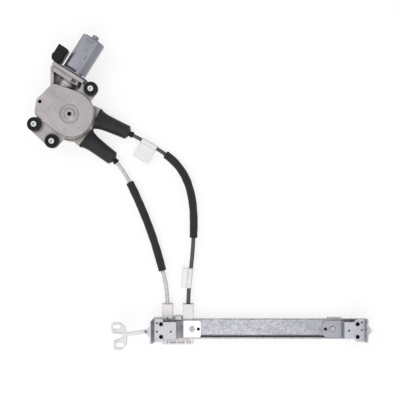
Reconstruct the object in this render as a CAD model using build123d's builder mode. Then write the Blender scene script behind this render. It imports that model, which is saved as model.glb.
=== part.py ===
from build123d import *
import os
from math import cos, pi, radians, sin, sqrt, tan

# Cable window regulator: a geared motor winds two Bowden cables, and they draw a pressed rail
# through a fixed guide block. Millimetres. The origin is on the drum's axis, on the flat
# underside of the drum cover. X runs along the rail, Z points away from the mounting surface
# that the drum cover faces, and the rail lies on the -Y side of the drive.

# ---------------------------------------------------------------- driving dimensions
running_fit = 0.08          # radial clearance of a shaft in its bore
gap = 0.3                   # clearance between pieces that pass each other
seat_gap = 0.02             # clearance of a press fit, so that faces don't overlap

# cables
cable_radius = 0.9
cable_z = 12.0              # height of both cables, of the drum's groove and of the conduits
conduit_radius = 3.5
foam_radius = 6.8
foam_bore = conduit_radius + 0.2

# gearbox case
case_base_z = 23.0
case_top_z = 50.0
pad_height = 4.0            # raised top pad above the rest of the case
inspection_hole = (-47.5, 19.8)
case_lobes = ((0, 0, 39), (-24, 38, 10.5), (*inspection_hole, 6.5), (-46.6, 3.0, 9.7))
pad_lobes = ((1.5, 0.5, 37.5), (-24, 38, 10.3), (*inspection_hole, 6.3), (-46.6, 3.0, 9.5))
pad_foot = ((-42.6, -11.3, 3.0), (-30.0, -11.8, 3.0), (-40.0, 3.0, 3.0))
inspection_hole_radius = 2.8
boss_hole_radius = 3.5
boss_ring_radius = 15.5     # shallow dish round the boss, with a cone rising to its middle
boss_floor_radius = 14.2
boss_cone_radius = 7.0
boss_ring_depth = 1.5
top_marks = ((-8.4, 22.1), (16.5, -22.5), (-33.0, 8.0))
top_mark_radius = 2.2
top_mark_depth = 0.3

# mounting lugs and grommets
lug_points = {"upper": (35.0, 39.9), "left": (-56.0, -17.0), "lower": (-27.6, -44.3)}
lug_radius = 11.2
lug_top_z = 48.0
lug_thickness = 5.0
arm_root = (14.0, 28.0)
arm_root_radius = 9.0
arm_side_root = (25.0, 18.0, 5.0)
plate_roots = ((-30, -8), (-8, -28))
plate_root_radius = 8.0
grommet_radius = 11.5
grommet_foot_radius = 10.0
grommet_neck_radius = 8.0
grommet_groove = (6.4, 8.4)  # ring groove in the rubber's top
grommet_groove_depth = 1.6
grommet_top_rise = 9.0      # above the lug
grommet_foot_drop = 7.0     # below the lug
sleeve_radius = 4.2
sleeve_bore = 3.2
sleeve_stand = 0.8          # each end of the sleeve stands out of the rubber

# worm drive
motor_angle = 57.8          # of the motor's axis from X
shaft_z = 35.0
gear_teeth = 44
gear_module = 1.25
worm_pitch_radius = 5.0
worm_turns = 6
mesh_relief = 0.18          # taken off the tips and flanks of worm and wheel
gear_face = 8.0
centre_distance = gear_module * gear_teeth / 2 + worm_pitch_radius
worm_bore = 8.0
worm_tube_radius = 12.0
worm_collar_radius = 13.0
worm_collar = (36.5, 41.5)  # raised band round the worm tube
mount_block_start = 44.5    # block behind the motor's flange
mount_block_half_height = 15.0
mount_block_right = -19.0
block_pocket = (-10.5, 8.0, 5.0, 5.0)
gear_cavity_radius = gear_module * gear_teeth / 2 + 2.2
gear_cavity_top_z = 43.0

# motor, by distance along its axis from the worm's middle
tube_end = -27.0
thrust_end = -24.0
front_bearing_start = 46.0
flange_start = 52.5
flange_end = 58.0
gasket_thickness = 1.6
can_plate_thickness = 1.4
can_length = 62.8
can_wall = 1.5
can_half_width = 19.0
can_half_height = 16.0
can_flat_half = 11.5        # half of the front flat
can_side_half = 6.0         # half of the side flat
can_stakes = ((87.3, 10.9), (89.9, -7.2))
stake_size = (6.0, 1.8)
stake_depth = 0.8
can_dimple = (101.5, -1.0)
dimple_radius = 1.7
dimple_height = 0.7
can_dent = (116.0, 0.5)     # curved press mark near the closed end
dent_radius = 14.0
dent_half_angle = 26.0
dent_width = 2.4
dent_depth = 0.6
nub_radius = 5.75
nub_length = 6.6
nub_wall = 0.75
shaft_radius = 3.0
stack_radius = 10.5
stack_slots = 10
flange_left = 34.0
flange_right = -27.0
flange_half_height = 18.5
plate_left = 23.5
plate_half_height = 16.8
screw_offset = (19.5, 12.0)
notch_left = 15.0
notch_right = -5.5
notch_depth = 4.4

# electrical connector
connector_left = 43.7
connector_right = 24.3
connector_half_height = 9.0
connector_top = 87.5
connector_wall = 2.0
connector_corner = 5.0      # radius of the top corner next to the motor
connector_foot_cut = 4.5
connector_depth = 16.0
terminal_width = 5.0
terminal_thickness = 0.9
terminal_pitch = 7.0

# drum and its housing
drum_radius = 20.0          # of the cable's centre line
drum_flange_radius = 24.0
drum_base_z = 3.3
drum_top_z = 20.2
drum_turns = 3
drum_pitch = 3.0
axle_radius = 4.0
drum_housing_radius = 39.5
drum_housing_shift = (-1.5, -2.0)
ear_root_radius = 29.0      # of the flared ears that carry the outlets
drum_housing_top_z = 21.7
drum_cavity_radius = 26.0
cover_radius = 28.0
cover_thickness = 2.5
seal_inset = 2.6
seal_width = 1.4
pocket_inset = (3.0, 3.5)   # from the cover's recess and from the housing's edge
pocket_corner = 1.5
housing_screw_radius = 33.5
housing_screw_angles = (100, 190, 255)
housing_screw_bore = 2.0
housing_screw_length = 8.0

# cable outlets: how far the mouth is set back from the housing's edge, its offset to the
# left of the drum's centre, and its direction in degrees
outlet_setback = {"upper": 1.7, "lower": 0.85}
outlet_offset = {"upper": 12.3, "lower": -15.85}
outlet_angle = {"upper": -24.1, "lower": -37.2}
conduit_start = 58.05       # of the conduit, from the boot's mouth
boot_length = 56.5
boot_stations = ((0.0, 17.8, 10.6), (7.0, 15.3, 10.8), (17.0, 13.4, 11.0), (32.0, 12.3, 11.1),
                 (52.5, 11.4, 10.9))
boot_wall = 2.0
boot_end_wall = 1.5
nose_bore = (-12.0, 30.0)   # start, from the conduit's end, and length
boot_nose_radius = 8.0
neck_radius = 8.0
neck_length = 22.0
neck_bore = 5.0
neck_bore_back = 24.0       # how far the bore runs back to the drum
cable_aim = 12.0            # point in the neck that a cable leaving the drum runs to
cable_lead = 13.0           # length of cable along the drum that its windings stand for
cable_end_back = 5.6        # of the inner cable, behind the conduit's end
cable_bend = 60.0
spring_radius = 4.0
spring_wire = 0.7
spring_turns = 4
spring_end = 50.8           # distance of its far end from the boot's mouth
ferrule_radius = 4.9
ferrule_length = 14.0
ferrule_back = 6.0          # behind the conduit's start
ferrule_collar = (6.1, 0.5, 2.6)  # radius, start and length of its outer ring

# conduit routes after their start at the ferrules, in plan at the cable height
upper_route = ((112.0, -38.0), (146.0, -57.5), (170.0, -76.0), (187.5, -101.0),
               (197.0, -131.0), (200.5, -163.0), (200.2, -198.0), (197.8, -236.0),
               (191.2, -290.0), (191.2, -324.0))
lower_route = ((78.2, -83.1), (92.0, -105.1), (107.5, -137.6), (123.0, -174.5),
               (136.4, -212.2), (147.2, -250.7), (157.0, -289.5), (157.0, -324.0))
foam_spans = {"upper": (0.203, 0.646), "lower": (0.172, 0.748)}
# tags on the upper conduit: place along it, width along it and reach of the flag
tags = {"upper": (0.112, 28.5, 25.5), "lower": (0.840, 33.0, 9.3)}
tag_thickness = 0.6
tag_gap = 0.35

# rail
rail_left = 132.3
rail_right = 484.7
rail_y = -351.7
rail_half_width = 16.6
rail_sheet = 1.5
rail_top_z = 19.5
rail_wall_height = 5.0
groove_inner = -10.0        # groove along the rail, from the centre line
groove_outer = -13.6
groove_depth = 8.5
fold_radius = 1.3
hem_drop = 1.0              # the hem stands this much lower than the web
rail_travel = 220.0         # from the first stop to the last

# brackets
plate_half = 13.75          # half width of neck and inner plate
head_half = 18.65
bracket_sheet = 2.0
head_top_z = 36.0
flange_top_z = 48.0
flange_half = 20.0
ear_half = 10.0
ear_hole_radius = 1.7
bend_fillet = 0.7
bolt_rim = (4.0, 0.3)       # radius and height of the rim pressed up round a bolt hole
plate_corner = {"left": 3.5, "right": 9.5}
# along the rail, by distance inward from the outer edge of the bracket's head
left_head_x = 134.0
left_bracket_run = {"neck": 16.4, "slope": 37.1, "inner": 48.7, "end": 78.3, "rivet": 63.4,
                    "hole": 73.9, "flange": -4.5, "ear": -13.4, "ear_hole": -10.6,
                    "neck_hole": 29.2}
right_head_x = 480.8
right_bracket_run = {"neck": 18.4, "slope": 34.2, "inner": 36.0, "end": 69.0, "rivet": 51.7,
                     "hole": 63.3, "flange": -1.8, "ear": -9.1, "ear_hole": -6.4,
                     "neck_hole": 27.1}


def bracket_places(head, outward, run):
    """Where a bracket's features lie along X; outward is 1 at the rail's +X end, -1 at the other."""
    return {"head": head} | {name: head - outward * inset for name, inset in run.items()}


left_bracket_x = bracket_places(left_head_x, -1, left_bracket_run)
right_bracket_x = bracket_places(right_head_x, 1, right_bracket_run)
# the same by distance from the rail's centre line: flange from low to high with its outer
# corner, cut corners of the head, middle of the ear, hole in the neck and holes in the head
left_bracket_y = {"low": -20.0, "high": 20.0, "corner": 15.5, "cut": (1.5, 1.5), "ear": 0.0,
                  "neck_hole": -1.8, "head_holes": (-1.9, 12.1), "pip": -14.3}
right_bracket_y = {"low": -16.5, "high": 20.0, "corner": 20.0, "cut": (5.0, 3.6), "ear": 2.2,
                   "neck_hole": -0.1, "head_holes": (0.7, 13.4), "pip": -14.3}
bolt_hole_radius = 3.25
bolt_half_spacing = 10.4
bolt_from_head = 13.2
small_hole_radius = 1.4
rivet_head_radius = 4.5
rivet_radius = 3.0
inner_hole_radius = 2.75

# guide block
block_x = 174.1
block_half = 26.0
socket_offset = 17.1
socket_half_width = 8.85
socket_reach = 40.4         # from the rail's centre line
socket_top_z = 20.5
socket_bore_depth = 14.0
block_tunnel_half = 3.6
block_strip = 27.2
clasp_length = 9.5
strip_recesses = ((-17.0, 1.6), (-8.0, 9.6), (5.5, 10.2), (15.9, 1.4), (19.8, 1.4))
strip_recess_depth = 2.4

# end anchors
left_stop_gap = 1.7         # between block and anchor at each end of the travel
right_stop_gap = 2.9
left_anchor_length = 12.4
right_anchor_length = 23.0
anchor_half_width = 17.0
nipple_radius = 2.6

# clip, from its pivot in the ear: circles (out along -X, out along -Y, radius)
clip_top_z = 45.7
clip_thickness = 4.0
clip_edge = 0.9
clip_upper_loop = ((52.6, -9.6, 4.4), (44.5, -10.0, 4.6), (37.2, -5.6, 4.0), (52.8, 1.4, 2.0),
                   (34.9, 2.6, 2.6))
clip_lower_loop = ((50.2, 16.6, 2.4), (49.2, 26.6, 3.4), (41.0, 26.4, 4.0), (34.6, 19.8, 3.8),
                   (33.4, 10.0, 2.6), (42.0, 16.1, 2.0))
clip_windows = ((48.0, -7.1, 11.8, 6.4), (42.5, 22.2, 12.0, 7.4))
clip_stem = ((34.0, 5.3, 3.0), (0.0, 0.0, 3.0))
clip_ridge = 0.8

# ---------------------------------------------------------------- frames worked out from them
axis_x, axis_y = cos(radians(motor_angle)), sin(radians(motor_angle))
left_x, left_y = -axis_y, axis_x
foot_x, foot_y = centre_distance * left_x, centre_distance * left_y
can_plate_start = flange_end + gasket_thickness
can_start = can_plate_start + can_plate_thickness
can_end = can_start + can_length
left_stop_x = block_x - block_half - left_stop_gap
right_stop_x = block_x + block_half + rail_travel + right_stop_gap
left_anchor = (left_stop_x - left_anchor_length, left_stop_x)
right_anchor = (right_stop_x, right_stop_x + right_anchor_length)
left_ear = (left_bracket_x["ear_hole"], rail_y)
outlets = {}
for name, angle in outlet_angle.items():
    out_x, out_y = cos(radians(angle)), sin(radians(angle))
    reach, aside = drum_housing_radius - outlet_setback[name], outlet_offset[name]
    outlets[name] = (reach * out_x - aside * out_y, reach * out_y + aside * out_x, angle)
routes = {}
for name, rest in (("upper", upper_route), ("lower", lower_route)):
    x, y, angle = outlets[name]
    start = (x + conduit_start * cos(radians(angle)), y + conduit_start * sin(radians(angle)))
    routes[name] = (start, *rest)


def motor_plane(along):
    """Plane across the motor's axis: local x points to its left side and local y up."""
    origin = (foot_x + along * axis_x, foot_y + along * axis_y, shaft_z)
    return Plane(origin=origin, x_dir=(left_x, left_y, 0), z_dir=(axis_x, axis_y, 0))


def can_front(point):
    """Plane on the can's front flat at (along, aside): local x points along the motor's axis."""
    along, aside = point
    origin = (foot_x + along * axis_x + aside * left_x, foot_y + along * axis_y + aside * left_y,
              shaft_z + can_half_height)
    return Plane(origin=origin, x_dir=(axis_x, axis_y, 0), z_dir=(0, 0, 1))


def outlet_plane(name, along):
    """Plane across a cable outlet's axis, a distance out from the boot's mouth."""
    x, y, angle = outlets[name]
    out_x, out_y = cos(radians(angle)), sin(radians(angle))
    origin = (x + along * out_x, y + along * out_y, cable_z)
    return Plane(origin=origin, x_dir=(-out_y, out_x, 0), z_dir=(out_x, out_y, 0))


def rail_plane(x):
    """Plane across the rail: local x is Y from the rail's centre line and local y is Z."""
    return Plane(origin=(x, rail_y, 0), x_dir=(0, 1, 0), z_dir=(1, 0, 0))


def block_plane(z):
    """Level plane with its origin on the rail's centre line, at the guide block's middle."""
    return Plane(origin=(block_x, rail_y, z))


def hull_of(lobes):
    """Fill the hull of circles given as (x, y, radius) in the sketch that is open."""
    for x, y, radius in lobes:
        with Locations((x, y)):
            Circle(radius)
    make_hull()


def save(builder, name):
    """Label a finished piece and write its STEP file."""
    builder.part.label = name
    export_step(builder.part, f"parts/{name}.step")


os.makedirs("parts", exist_ok=True)

# ---------------------------------------------------------------- gearbox case
lug_base_z = lug_top_z - lug_thickness
case_body_top = case_top_z - pad_height
flange_mid = (flange_left + flange_right) / 2
wall_x = -28.5
wall_ends = (45.0, 76.0)
rib_half = 2.5
web_top_z = 30.0
flange_foot = (23.0, 50.5)

with BuildPart() as gear_housing:
    with BuildSketch(Plane.XY.offset(case_base_z)):
        hull_of(case_lobes)
    extrude(amount=case_body_top - case_base_z)
    with BuildSketch(Plane.XY.offset(case_body_top)):
        hull_of(pad_lobes)
    extrude(amount=pad_height)
    with BuildSketch(Plane.XY.offset(case_body_top)):
        hull_of(pad_foot)
    extrude(amount=pad_height)
    pad_rim = gear_housing.faces().sort_by(Axis.Z)[-1].outer_wire().edges()
    fillet(pad_rim, radius=1.2)
    # arm to the upper lug and plate to the two lower ones
    with BuildSketch(Plane.XY.offset(lug_base_z)):
        hull_of(((*lug_points["upper"], lug_radius), (*arm_root, arm_root_radius),
                 arm_side_root))
    extrude(amount=lug_thickness)
    with BuildSketch(Plane.XY.offset(lug_base_z)):
        hull_of([(*lug_points[name], lug_radius) for name in ("left", "lower")]
                + [(x, y, plate_root_radius) for x, y in plate_roots])
    extrude(amount=lug_thickness)
    # web, outer wall and rib between the case and the motor's flange
    with BuildSketch(Plane.XY.offset(case_base_z + 2)):
        hull_of(((wall_x, wall_ends[1], rib_half), (wall_x, wall_ends[0], rib_half),
                 (*arm_root, rib_half), (*flange_foot, rib_half)))
    extrude(amount=web_top_z - case_base_z - 2)
    with BuildSketch(Plane.XY.offset(case_base_z + 2)):
        hull_of([(wall_x, y, rib_half) for y in wall_ends])
    extrude(amount=case_body_top - case_base_z - 2)
    with BuildSketch(Plane.XY.offset(case_base_z + 2)):
        hull_of(((*flange_foot, 3.0), (20.0, 34.0, 4.0)))
    extrude(amount=case_body_top - case_base_z)
    # worm tube with its collar, mounting block and flange
    with BuildSketch(motor_plane(tube_end)):
        Circle(worm_tube_radius)
    extrude(amount=flange_start - tube_end)
    with BuildSketch(motor_plane(worm_collar[0])):
        Circle(worm_collar_radius)
    extrude(amount=worm_collar[1] - worm_collar[0])
    with BuildSketch(motor_plane(mount_block_start)):
        with Locations(((flange_left - 4 + mount_block_right) / 2, 0)):
            RectangleRounded(flange_left - 4 - mount_block_right, 2 * mount_block_half_height, 4)
    extrude(amount=flange_start - mount_block_start)
    with BuildSketch(motor_plane(flange_start)):
        with Locations((flange_mid, 0)):
            RectangleRounded(flange_left - flange_right, 2 * flange_half_height, 4)
    extrude(amount=flange_end - flange_start)
    # cavities: gear, worm, bearing seat and axle
    with BuildSketch(Plane.XY.offset(case_base_z)):
        Circle(gear_cavity_radius)
    extrude(amount=gear_cavity_top_z - case_base_z, mode=Mode.SUBTRACT)
    with BuildSketch(motor_plane(thrust_end)):
        Circle(worm_bore)
    extrude(amount=front_bearing_start - thrust_end, mode=Mode.SUBTRACT)
    with BuildSketch(motor_plane(front_bearing_start)):
        Circle(worm_bore - 1.5)
    extrude(amount=flange_end - front_bearing_start, mode=Mode.SUBTRACT)
    with BuildSketch(Plane.XY.offset(gear_cavity_top_z)):
        Circle(axle_radius + seat_gap)
    extrude(amount=3, mode=Mode.SUBTRACT)
    # pocket in the mounting block's top
    pocket_aside, pocket_wide, pocket_long, pocket_deep = block_pocket
    with BuildSketch(motor_plane(mount_block_start + 1.5)):
        with Locations((pocket_aside, mount_block_half_height)):
            Rectangle(pocket_wide, 2 * pocket_deep)
    extrude(amount=pocket_long, mode=Mode.SUBTRACT)
    # dish round the boss, boss hole down to the axle, shallow marks and inspection hole
    with BuildSketch(Plane.XZ):
        with BuildLine():
            Polyline((boss_ring_radius, case_top_z + 1), (boss_ring_radius, case_top_z - 0.5),
                     (boss_floor_radius, case_top_z - boss_ring_depth),
                     (boss_cone_radius + 3, case_top_z - boss_ring_depth),
                     (boss_cone_radius, case_top_z), (boss_cone_radius, case_top_z + 1),
                     close=True)
        make_face()
    revolve(axis=Axis.Z, mode=Mode.SUBTRACT)
    with BuildSketch(Plane.XY.offset(case_top_z)):
        Circle(boss_hole_radius)
    extrude(amount=gear_cavity_top_z - case_top_z, mode=Mode.SUBTRACT)
    with BuildSketch(Plane.XY.offset(case_top_z)):
        with Locations(*top_marks):
            Circle(top_mark_radius)
    extrude(amount=-top_mark_depth, mode=Mode.SUBTRACT)
    with BuildSketch(Plane.XY.offset(case_top_z)):
        with Locations(inspection_hole):
            Circle(inspection_hole_radius)
    extrude(amount=case_base_z - case_top_z, mode=Mode.SUBTRACT)
    # grommet seats, housing screw holes and motor screw holes
    with BuildSketch(Plane.XY.offset(lug_top_z)):
        with Locations(*lug_points.values()):
            Circle(grommet_neck_radius + seat_gap)
    extrude(amount=-lug_thickness, mode=Mode.SUBTRACT)
    with BuildSketch(Plane.XY.offset(case_base_z)):
        with Locations(*[(housing_screw_radius * cos(radians(a)), housing_screw_radius * sin(radians(a)))
                         for a in housing_screw_angles]):
            Circle(housing_screw_bore)
    extrude(amount=housing_screw_length + 1, mode=Mode.SUBTRACT)
    with BuildSketch(motor_plane(flange_end)):
        with Locations((screw_offset[0], -screw_offset[1]), (-screw_offset[0], screw_offset[1])):
            Circle(2.0)
    extrude(amount=-(flange_end - flange_start), mode=Mode.SUBTRACT)
save(gear_housing, "gear_housing")

# ---------------------------------------------------------------- grommets and sleeves
grommet_top_z = lug_top_z + grommet_top_rise
grommet_foot_z = lug_base_z - grommet_foot_drop
for name, (x, y) in lug_points.items():
    with BuildPart() as grommet:
        with BuildSketch(Plane(origin=(x, y, 0), x_dir=(1, 0, 0), z_dir=(0, -1, 0))):
            with BuildLine():
                Polyline((sleeve_radius + seat_gap, grommet_foot_z),
                         (grommet_foot_radius - 1, grommet_foot_z),
                         (grommet_foot_radius, grommet_foot_z + 1),
                         (grommet_foot_radius, lug_base_z),
                         (grommet_neck_radius, lug_base_z),
                         (grommet_neck_radius, lug_top_z),
                         (grommet_radius, lug_top_z),
                         (grommet_radius, grommet_top_z - 2.2),
                         (grommet_radius - 0.7, grommet_top_z - 0.7),
                         (grommet_radius - 2.2, grommet_top_z),
                         (grommet_groove[1], grommet_top_z - 0.1),
                         (grommet_groove[1] - 0.4, grommet_top_z - grommet_groove_depth),
                         (grommet_groove[0] + 0.4, grommet_top_z - grommet_groove_depth),
                         (grommet_groove[0], grommet_top_z - 0.2),
                         (sleeve_radius + seat_gap, grommet_top_z - 1),
                         close=True)
            make_face()
        revolve(axis=Axis((x, y, 0), (0, 0, 1)))
    save(grommet, f"grommet_{name}")
    with BuildPart() as sleeve:
        with BuildSketch(Plane(origin=(x, y, grommet_foot_z - sleeve_stand))):
            Circle(sleeve_radius)
            Circle(sleeve_bore, mode=Mode.SUBTRACT)
        extrude(amount=grommet_top_z - grommet_foot_z + 2 * sleeve_stand)
    save(sleeve, f"sleeve_{name}")

# ---------------------------------------------------------------- worm wheel, damper and carrier
gear_base_z = shaft_z - gear_face / 2
gear_top_z = shaft_z + gear_face / 2
tip_radius = gear_module * gear_teeth / 2 + gear_module - mesh_relief
root_radius = gear_module * gear_teeth / 2 - gear_module - mesh_relief
tooth_root_half = 0.30 * pi * gear_module
tooth_tip_half = 0.10 * pi * gear_module
mesh_angle = motor_angle + 90
cup_outer = 22.0
cup_inner = 9.5
cup_top_z = gear_top_z - 2.5
dog_count = 3
dog_half = 3.0
rib_thickness = 4.0
damper_gap = 0.15

with BuildPart() as worm_wheel:
    with BuildSketch(Plane.XY.offset(gear_base_z)):
        Circle(root_radius + 0.05)
    extrude(amount=gear_face)
    with BuildSketch(Plane.XY.offset(gear_base_z)):
        with PolarLocations(0, gear_teeth, start_angle=mesh_angle):
            Polygon((root_radius - 0.3, -tooth_root_half), (tip_radius, -tooth_tip_half),
                    (tip_radius, tooth_tip_half), (root_radius - 0.3, tooth_root_half),
                    align=None)
    extrude(amount=gear_face)
    with BuildSketch(Plane.XY.offset(gear_base_z)):
        Circle(cup_outer)
        Circle(cup_inner, mode=Mode.SUBTRACT)
        with PolarLocations(0, dog_count, start_angle=60):
            Rectangle(cup_outer + 1, rib_thickness, align=(Align.MIN, Align.CENTER),
                      mode=Mode.SUBTRACT)
    extrude(amount=cup_top_z - gear_base_z, mode=Mode.SUBTRACT)
    with BuildSketch(Plane.XY.offset(gear_base_z)):
        Circle(axle_radius + running_fit)
    extrude(amount=gear_face, mode=Mode.SUBTRACT)
save(worm_wheel, "worm_wheel")

carrier_base_z = 26.5
carrier_top_z = gear_base_z - 0.5
hub_corner = 9.0
hub_base_z = 14.5
with BuildPart() as drive_carrier:
    with BuildSketch(Plane.XY.offset(carrier_base_z)):
        Circle(cup_outer)
    extrude(amount=carrier_top_z - carrier_base_z)
    with BuildSketch(Plane.XY.offset(hub_base_z)):
        RegularPolygon(hub_corner, 6)
    extrude(amount=carrier_base_z - hub_base_z)
    with BuildSketch(Plane.XY.offset(carrier_top_z)):
        with PolarLocations(0, dog_count):
            with Locations((cup_inner + 1, 0)):
                Rectangle(cup_outer - cup_inner - 2, 2 * dog_half,
                          align=(Align.MIN, Align.CENTER))
    extrude(amount=cup_top_z - 0.5 - carrier_top_z)
    with BuildSketch(Plane.XY.offset(hub_base_z)):
        Circle(axle_radius + running_fit)
    extrude(amount=carrier_top_z - hub_base_z, mode=Mode.SUBTRACT)
save(drive_carrier, "drive_carrier")

with BuildPart() as damper_ring:
    with BuildSketch(Plane.XY.offset(gear_base_z)):
        Circle(cup_outer - damper_gap)
        Circle(cup_inner + damper_gap, mode=Mode.SUBTRACT)
        with PolarLocations(0, dog_count, start_angle=60):
            Rectangle(cup_outer, rib_thickness + 2 * damper_gap,
                      align=(Align.MIN, Align.CENTER), mode=Mode.SUBTRACT)
        with PolarLocations(0, dog_count):
            Rectangle(cup_outer, 2 * (dog_half + damper_gap), align=(Align.MIN, Align.CENTER),
                      mode=Mode.SUBTRACT)
    extrude(amount=cup_top_z - gear_base_z - damper_gap)
save(damper_ring, "damper_ring")

with BuildPart() as cable_drum:
    with BuildSketch(Plane.XY.offset(drum_base_z)):
        Circle(drum_flange_radius)
    extrude(amount=drum_top_z - drum_base_z)
    # one groove for each turn of cable
    for turn in range(drum_turns):
        groove_z = cable_z + (turn - (drum_turns - 1) / 2) * drum_pitch
        with BuildSketch(Plane.XY.offset(groove_z - cable_radius - 0.1)):
            Circle(drum_flange_radius + 1)
            Circle(drum_radius - cable_radius - 0.1, mode=Mode.SUBTRACT)
        extrude(amount=2 * (cable_radius + 0.1), mode=Mode.SUBTRACT)
    with BuildSketch(Plane.XY.offset(hub_base_z - 0.2)):
        RegularPolygon(hub_corner + 0.1, 6)
    extrude(amount=drum_top_z - hub_base_z + 0.2, mode=Mode.SUBTRACT)
    with BuildSketch(Plane.XY.offset(drum_base_z)):
        Circle(axle_radius + running_fit)
    extrude(amount=drum_top_z - drum_base_z, mode=Mode.SUBTRACT)
save(cable_drum, "cable_drum")

with BuildPart() as drum_windings:
    for turn in range(drum_turns):
        winding_z = cable_z + (turn - (drum_turns - 1) / 2) * drum_pitch
        with BuildSketch(Plane.XZ):
            with Locations((drum_radius, winding_z)):
                RegularPolygon(cable_radius, 6)
        revolve(axis=Axis.Z)
save(drum_windings, "drum_windings")

with BuildPart() as axle_pin:
    with BuildSketch(Plane.XY.offset(1.0)):
        Circle(axle_radius)
    extrude(amount=gear_cavity_top_z + 2.8 - 1.0)
save(axle_pin, "axle_pin")

with BuildPart() as gear_cover:
    with BuildSketch(Plane.XY.offset(case_base_z)):
        Circle(gear_cavity_radius - 0.05)
        Circle(hub_corner + 1.5, mode=Mode.SUBTRACT)
    extrude(amount=2.0)
save(gear_cover, "gear_cover")

# ---------------------------------------------------------------- drum housing, cover and seal
def mouth_lobes(name):
    """Small circles at the two sides of an outlet's face, for the hull of the housing."""
    x, y, angle = outlets[name]
    half = boot_stations[0][1] - 1.0
    side_x, side_y = -sin(radians(angle)), cos(radians(angle))
    back_x, back_y = -cos(radians(angle)), -sin(radians(angle))
    return [(x + back_x + side * half * side_x, y + back_y + side * half * side_y, 0.8)
            for side in (-1, 1)]


drum_sides = {"upper": 1, "lower": -1}


def cable_leaves(name, side):
    """Where a cable leaves the drum, and the point in the outlet's neck that it runs to."""
    x, y, angle = outlets[name]
    out = Vector(cos(radians(angle)), sin(radians(angle)))
    tangent = Vector(-side * drum_radius * out.Y, side * drum_radius * out.X, cable_z)
    return tangent, Vector(x, y, cable_z) + out * cable_aim


with BuildPart() as drum_housing:
    with BuildSketch(Plane.XY):
        with Locations(drum_housing_shift):
            Circle(drum_housing_radius)
    extrude(amount=drum_housing_top_z)
    for name in outlets:
        with BuildSketch(Plane.XY):
            hull_of([(0, 0, ear_root_radius), *mouth_lobes(name)])
        extrude(amount=drum_housing_top_z)
    # flat outlet faces under the boots' mouths
    for name in outlets:
        with BuildSketch(outlet_plane(name, 0)):
            Rectangle(2 * boot_stations[0][1], 4 * cable_z)
        extrude(amount=20, mode=Mode.SUBTRACT)
    # outlet necks, which the boots slip over
    for name in outlets:
        with BuildSketch(outlet_plane(name, -3)):
            Circle(neck_radius)
        extrude(amount=neck_length + 3)
    # drum cavity, cover recess and bores
    with BuildSketch(Plane.XY.offset(cover_thickness)):
        Circle(drum_cavity_radius)
    extrude(amount=drum_housing_top_z - cover_thickness, mode=Mode.SUBTRACT)
    with BuildSketch(Plane.XY):
        Circle(cover_radius + seat_gap)
    extrude(amount=cover_thickness, mode=Mode.SUBTRACT)
    for name in outlets:
        with BuildSketch(outlet_plane(name, -neck_bore_back)):
            Circle(neck_bore)
        extrude(amount=neck_length + neck_bore_back, mode=Mode.SUBTRACT)
    for name, side in drum_sides.items():
        tangent, neck = cable_leaves(name, side)
        with BuildSketch(Plane.XY.offset(cable_z - 3)):
            hull_of(((tangent.X, tangent.Y, 3.0), (neck.X, neck.Y, neck_bore - 1)))
        extrude(amount=6, mode=Mode.SUBTRACT)
    # moulded pockets round the cavity, open below
    pocket_in, pocket_out = cover_radius + pocket_inset[0], drum_housing_radius - pocket_inset[1]
    with BuildSketch(Plane.XY):
        with PolarLocations((pocket_in + pocket_out) / 2, 6, start_angle=80, angular_range=150,
                            rotate=True):
            RectangleRounded(pocket_out - pocket_in, 11,
                             min(pocket_corner, 0.4 * (pocket_out - pocket_in)))
    extrude(amount=drum_housing_top_z - 6, mode=Mode.SUBTRACT)
save(drum_housing, "drum_housing")

with BuildPart() as drum_cover:
    with BuildSketch(Plane.XY):
        Circle(cover_radius)
    extrude(amount=cover_thickness)
    with BuildSketch(Plane.XY.offset(1.0)):
        Circle(axle_radius + seat_gap)
    extrude(amount=cover_thickness - 1.0, mode=Mode.SUBTRACT)
save(drum_cover, "drum_cover")

with BuildPart() as housing_seal:
    with BuildSketch(Plane.XY.offset(drum_housing_top_z)):
        Circle(drum_housing_radius - seal_inset)
        Circle(drum_housing_radius - seal_inset - seal_width, mode=Mode.SUBTRACT)
    extrude(amount=case_base_z - drum_housing_top_z)
save(housing_seal, "housing_seal")

with BuildPart() as housing_screws:
    for angle in housing_screw_angles:
        x = housing_screw_radius * cos(radians(angle))
        y = housing_screw_radius * sin(radians(angle))
        with BuildSketch(Plane(origin=(x, y, case_base_z - 0.01))):
            Circle(housing_screw_bore - running_fit)
        extrude(amount=housing_screw_length)
save(housing_screws, "housing_screws")

# ---------------------------------------------------------------- motor
def can_outline(inset):
    """Corners of the can's octagonal section, drawn in by an amount."""
    diagonal = inset * (sqrt(2) - 1)
    wide, tall = can_half_width - inset, can_half_height - inset
    flat, side = can_flat_half - diagonal, can_side_half - diagonal
    return [(wide, side), (flat, tall), (-flat, tall), (-wide, side),
            (-wide, -side), (-flat, -tall), (flat, -tall), (wide, -side)]


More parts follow.
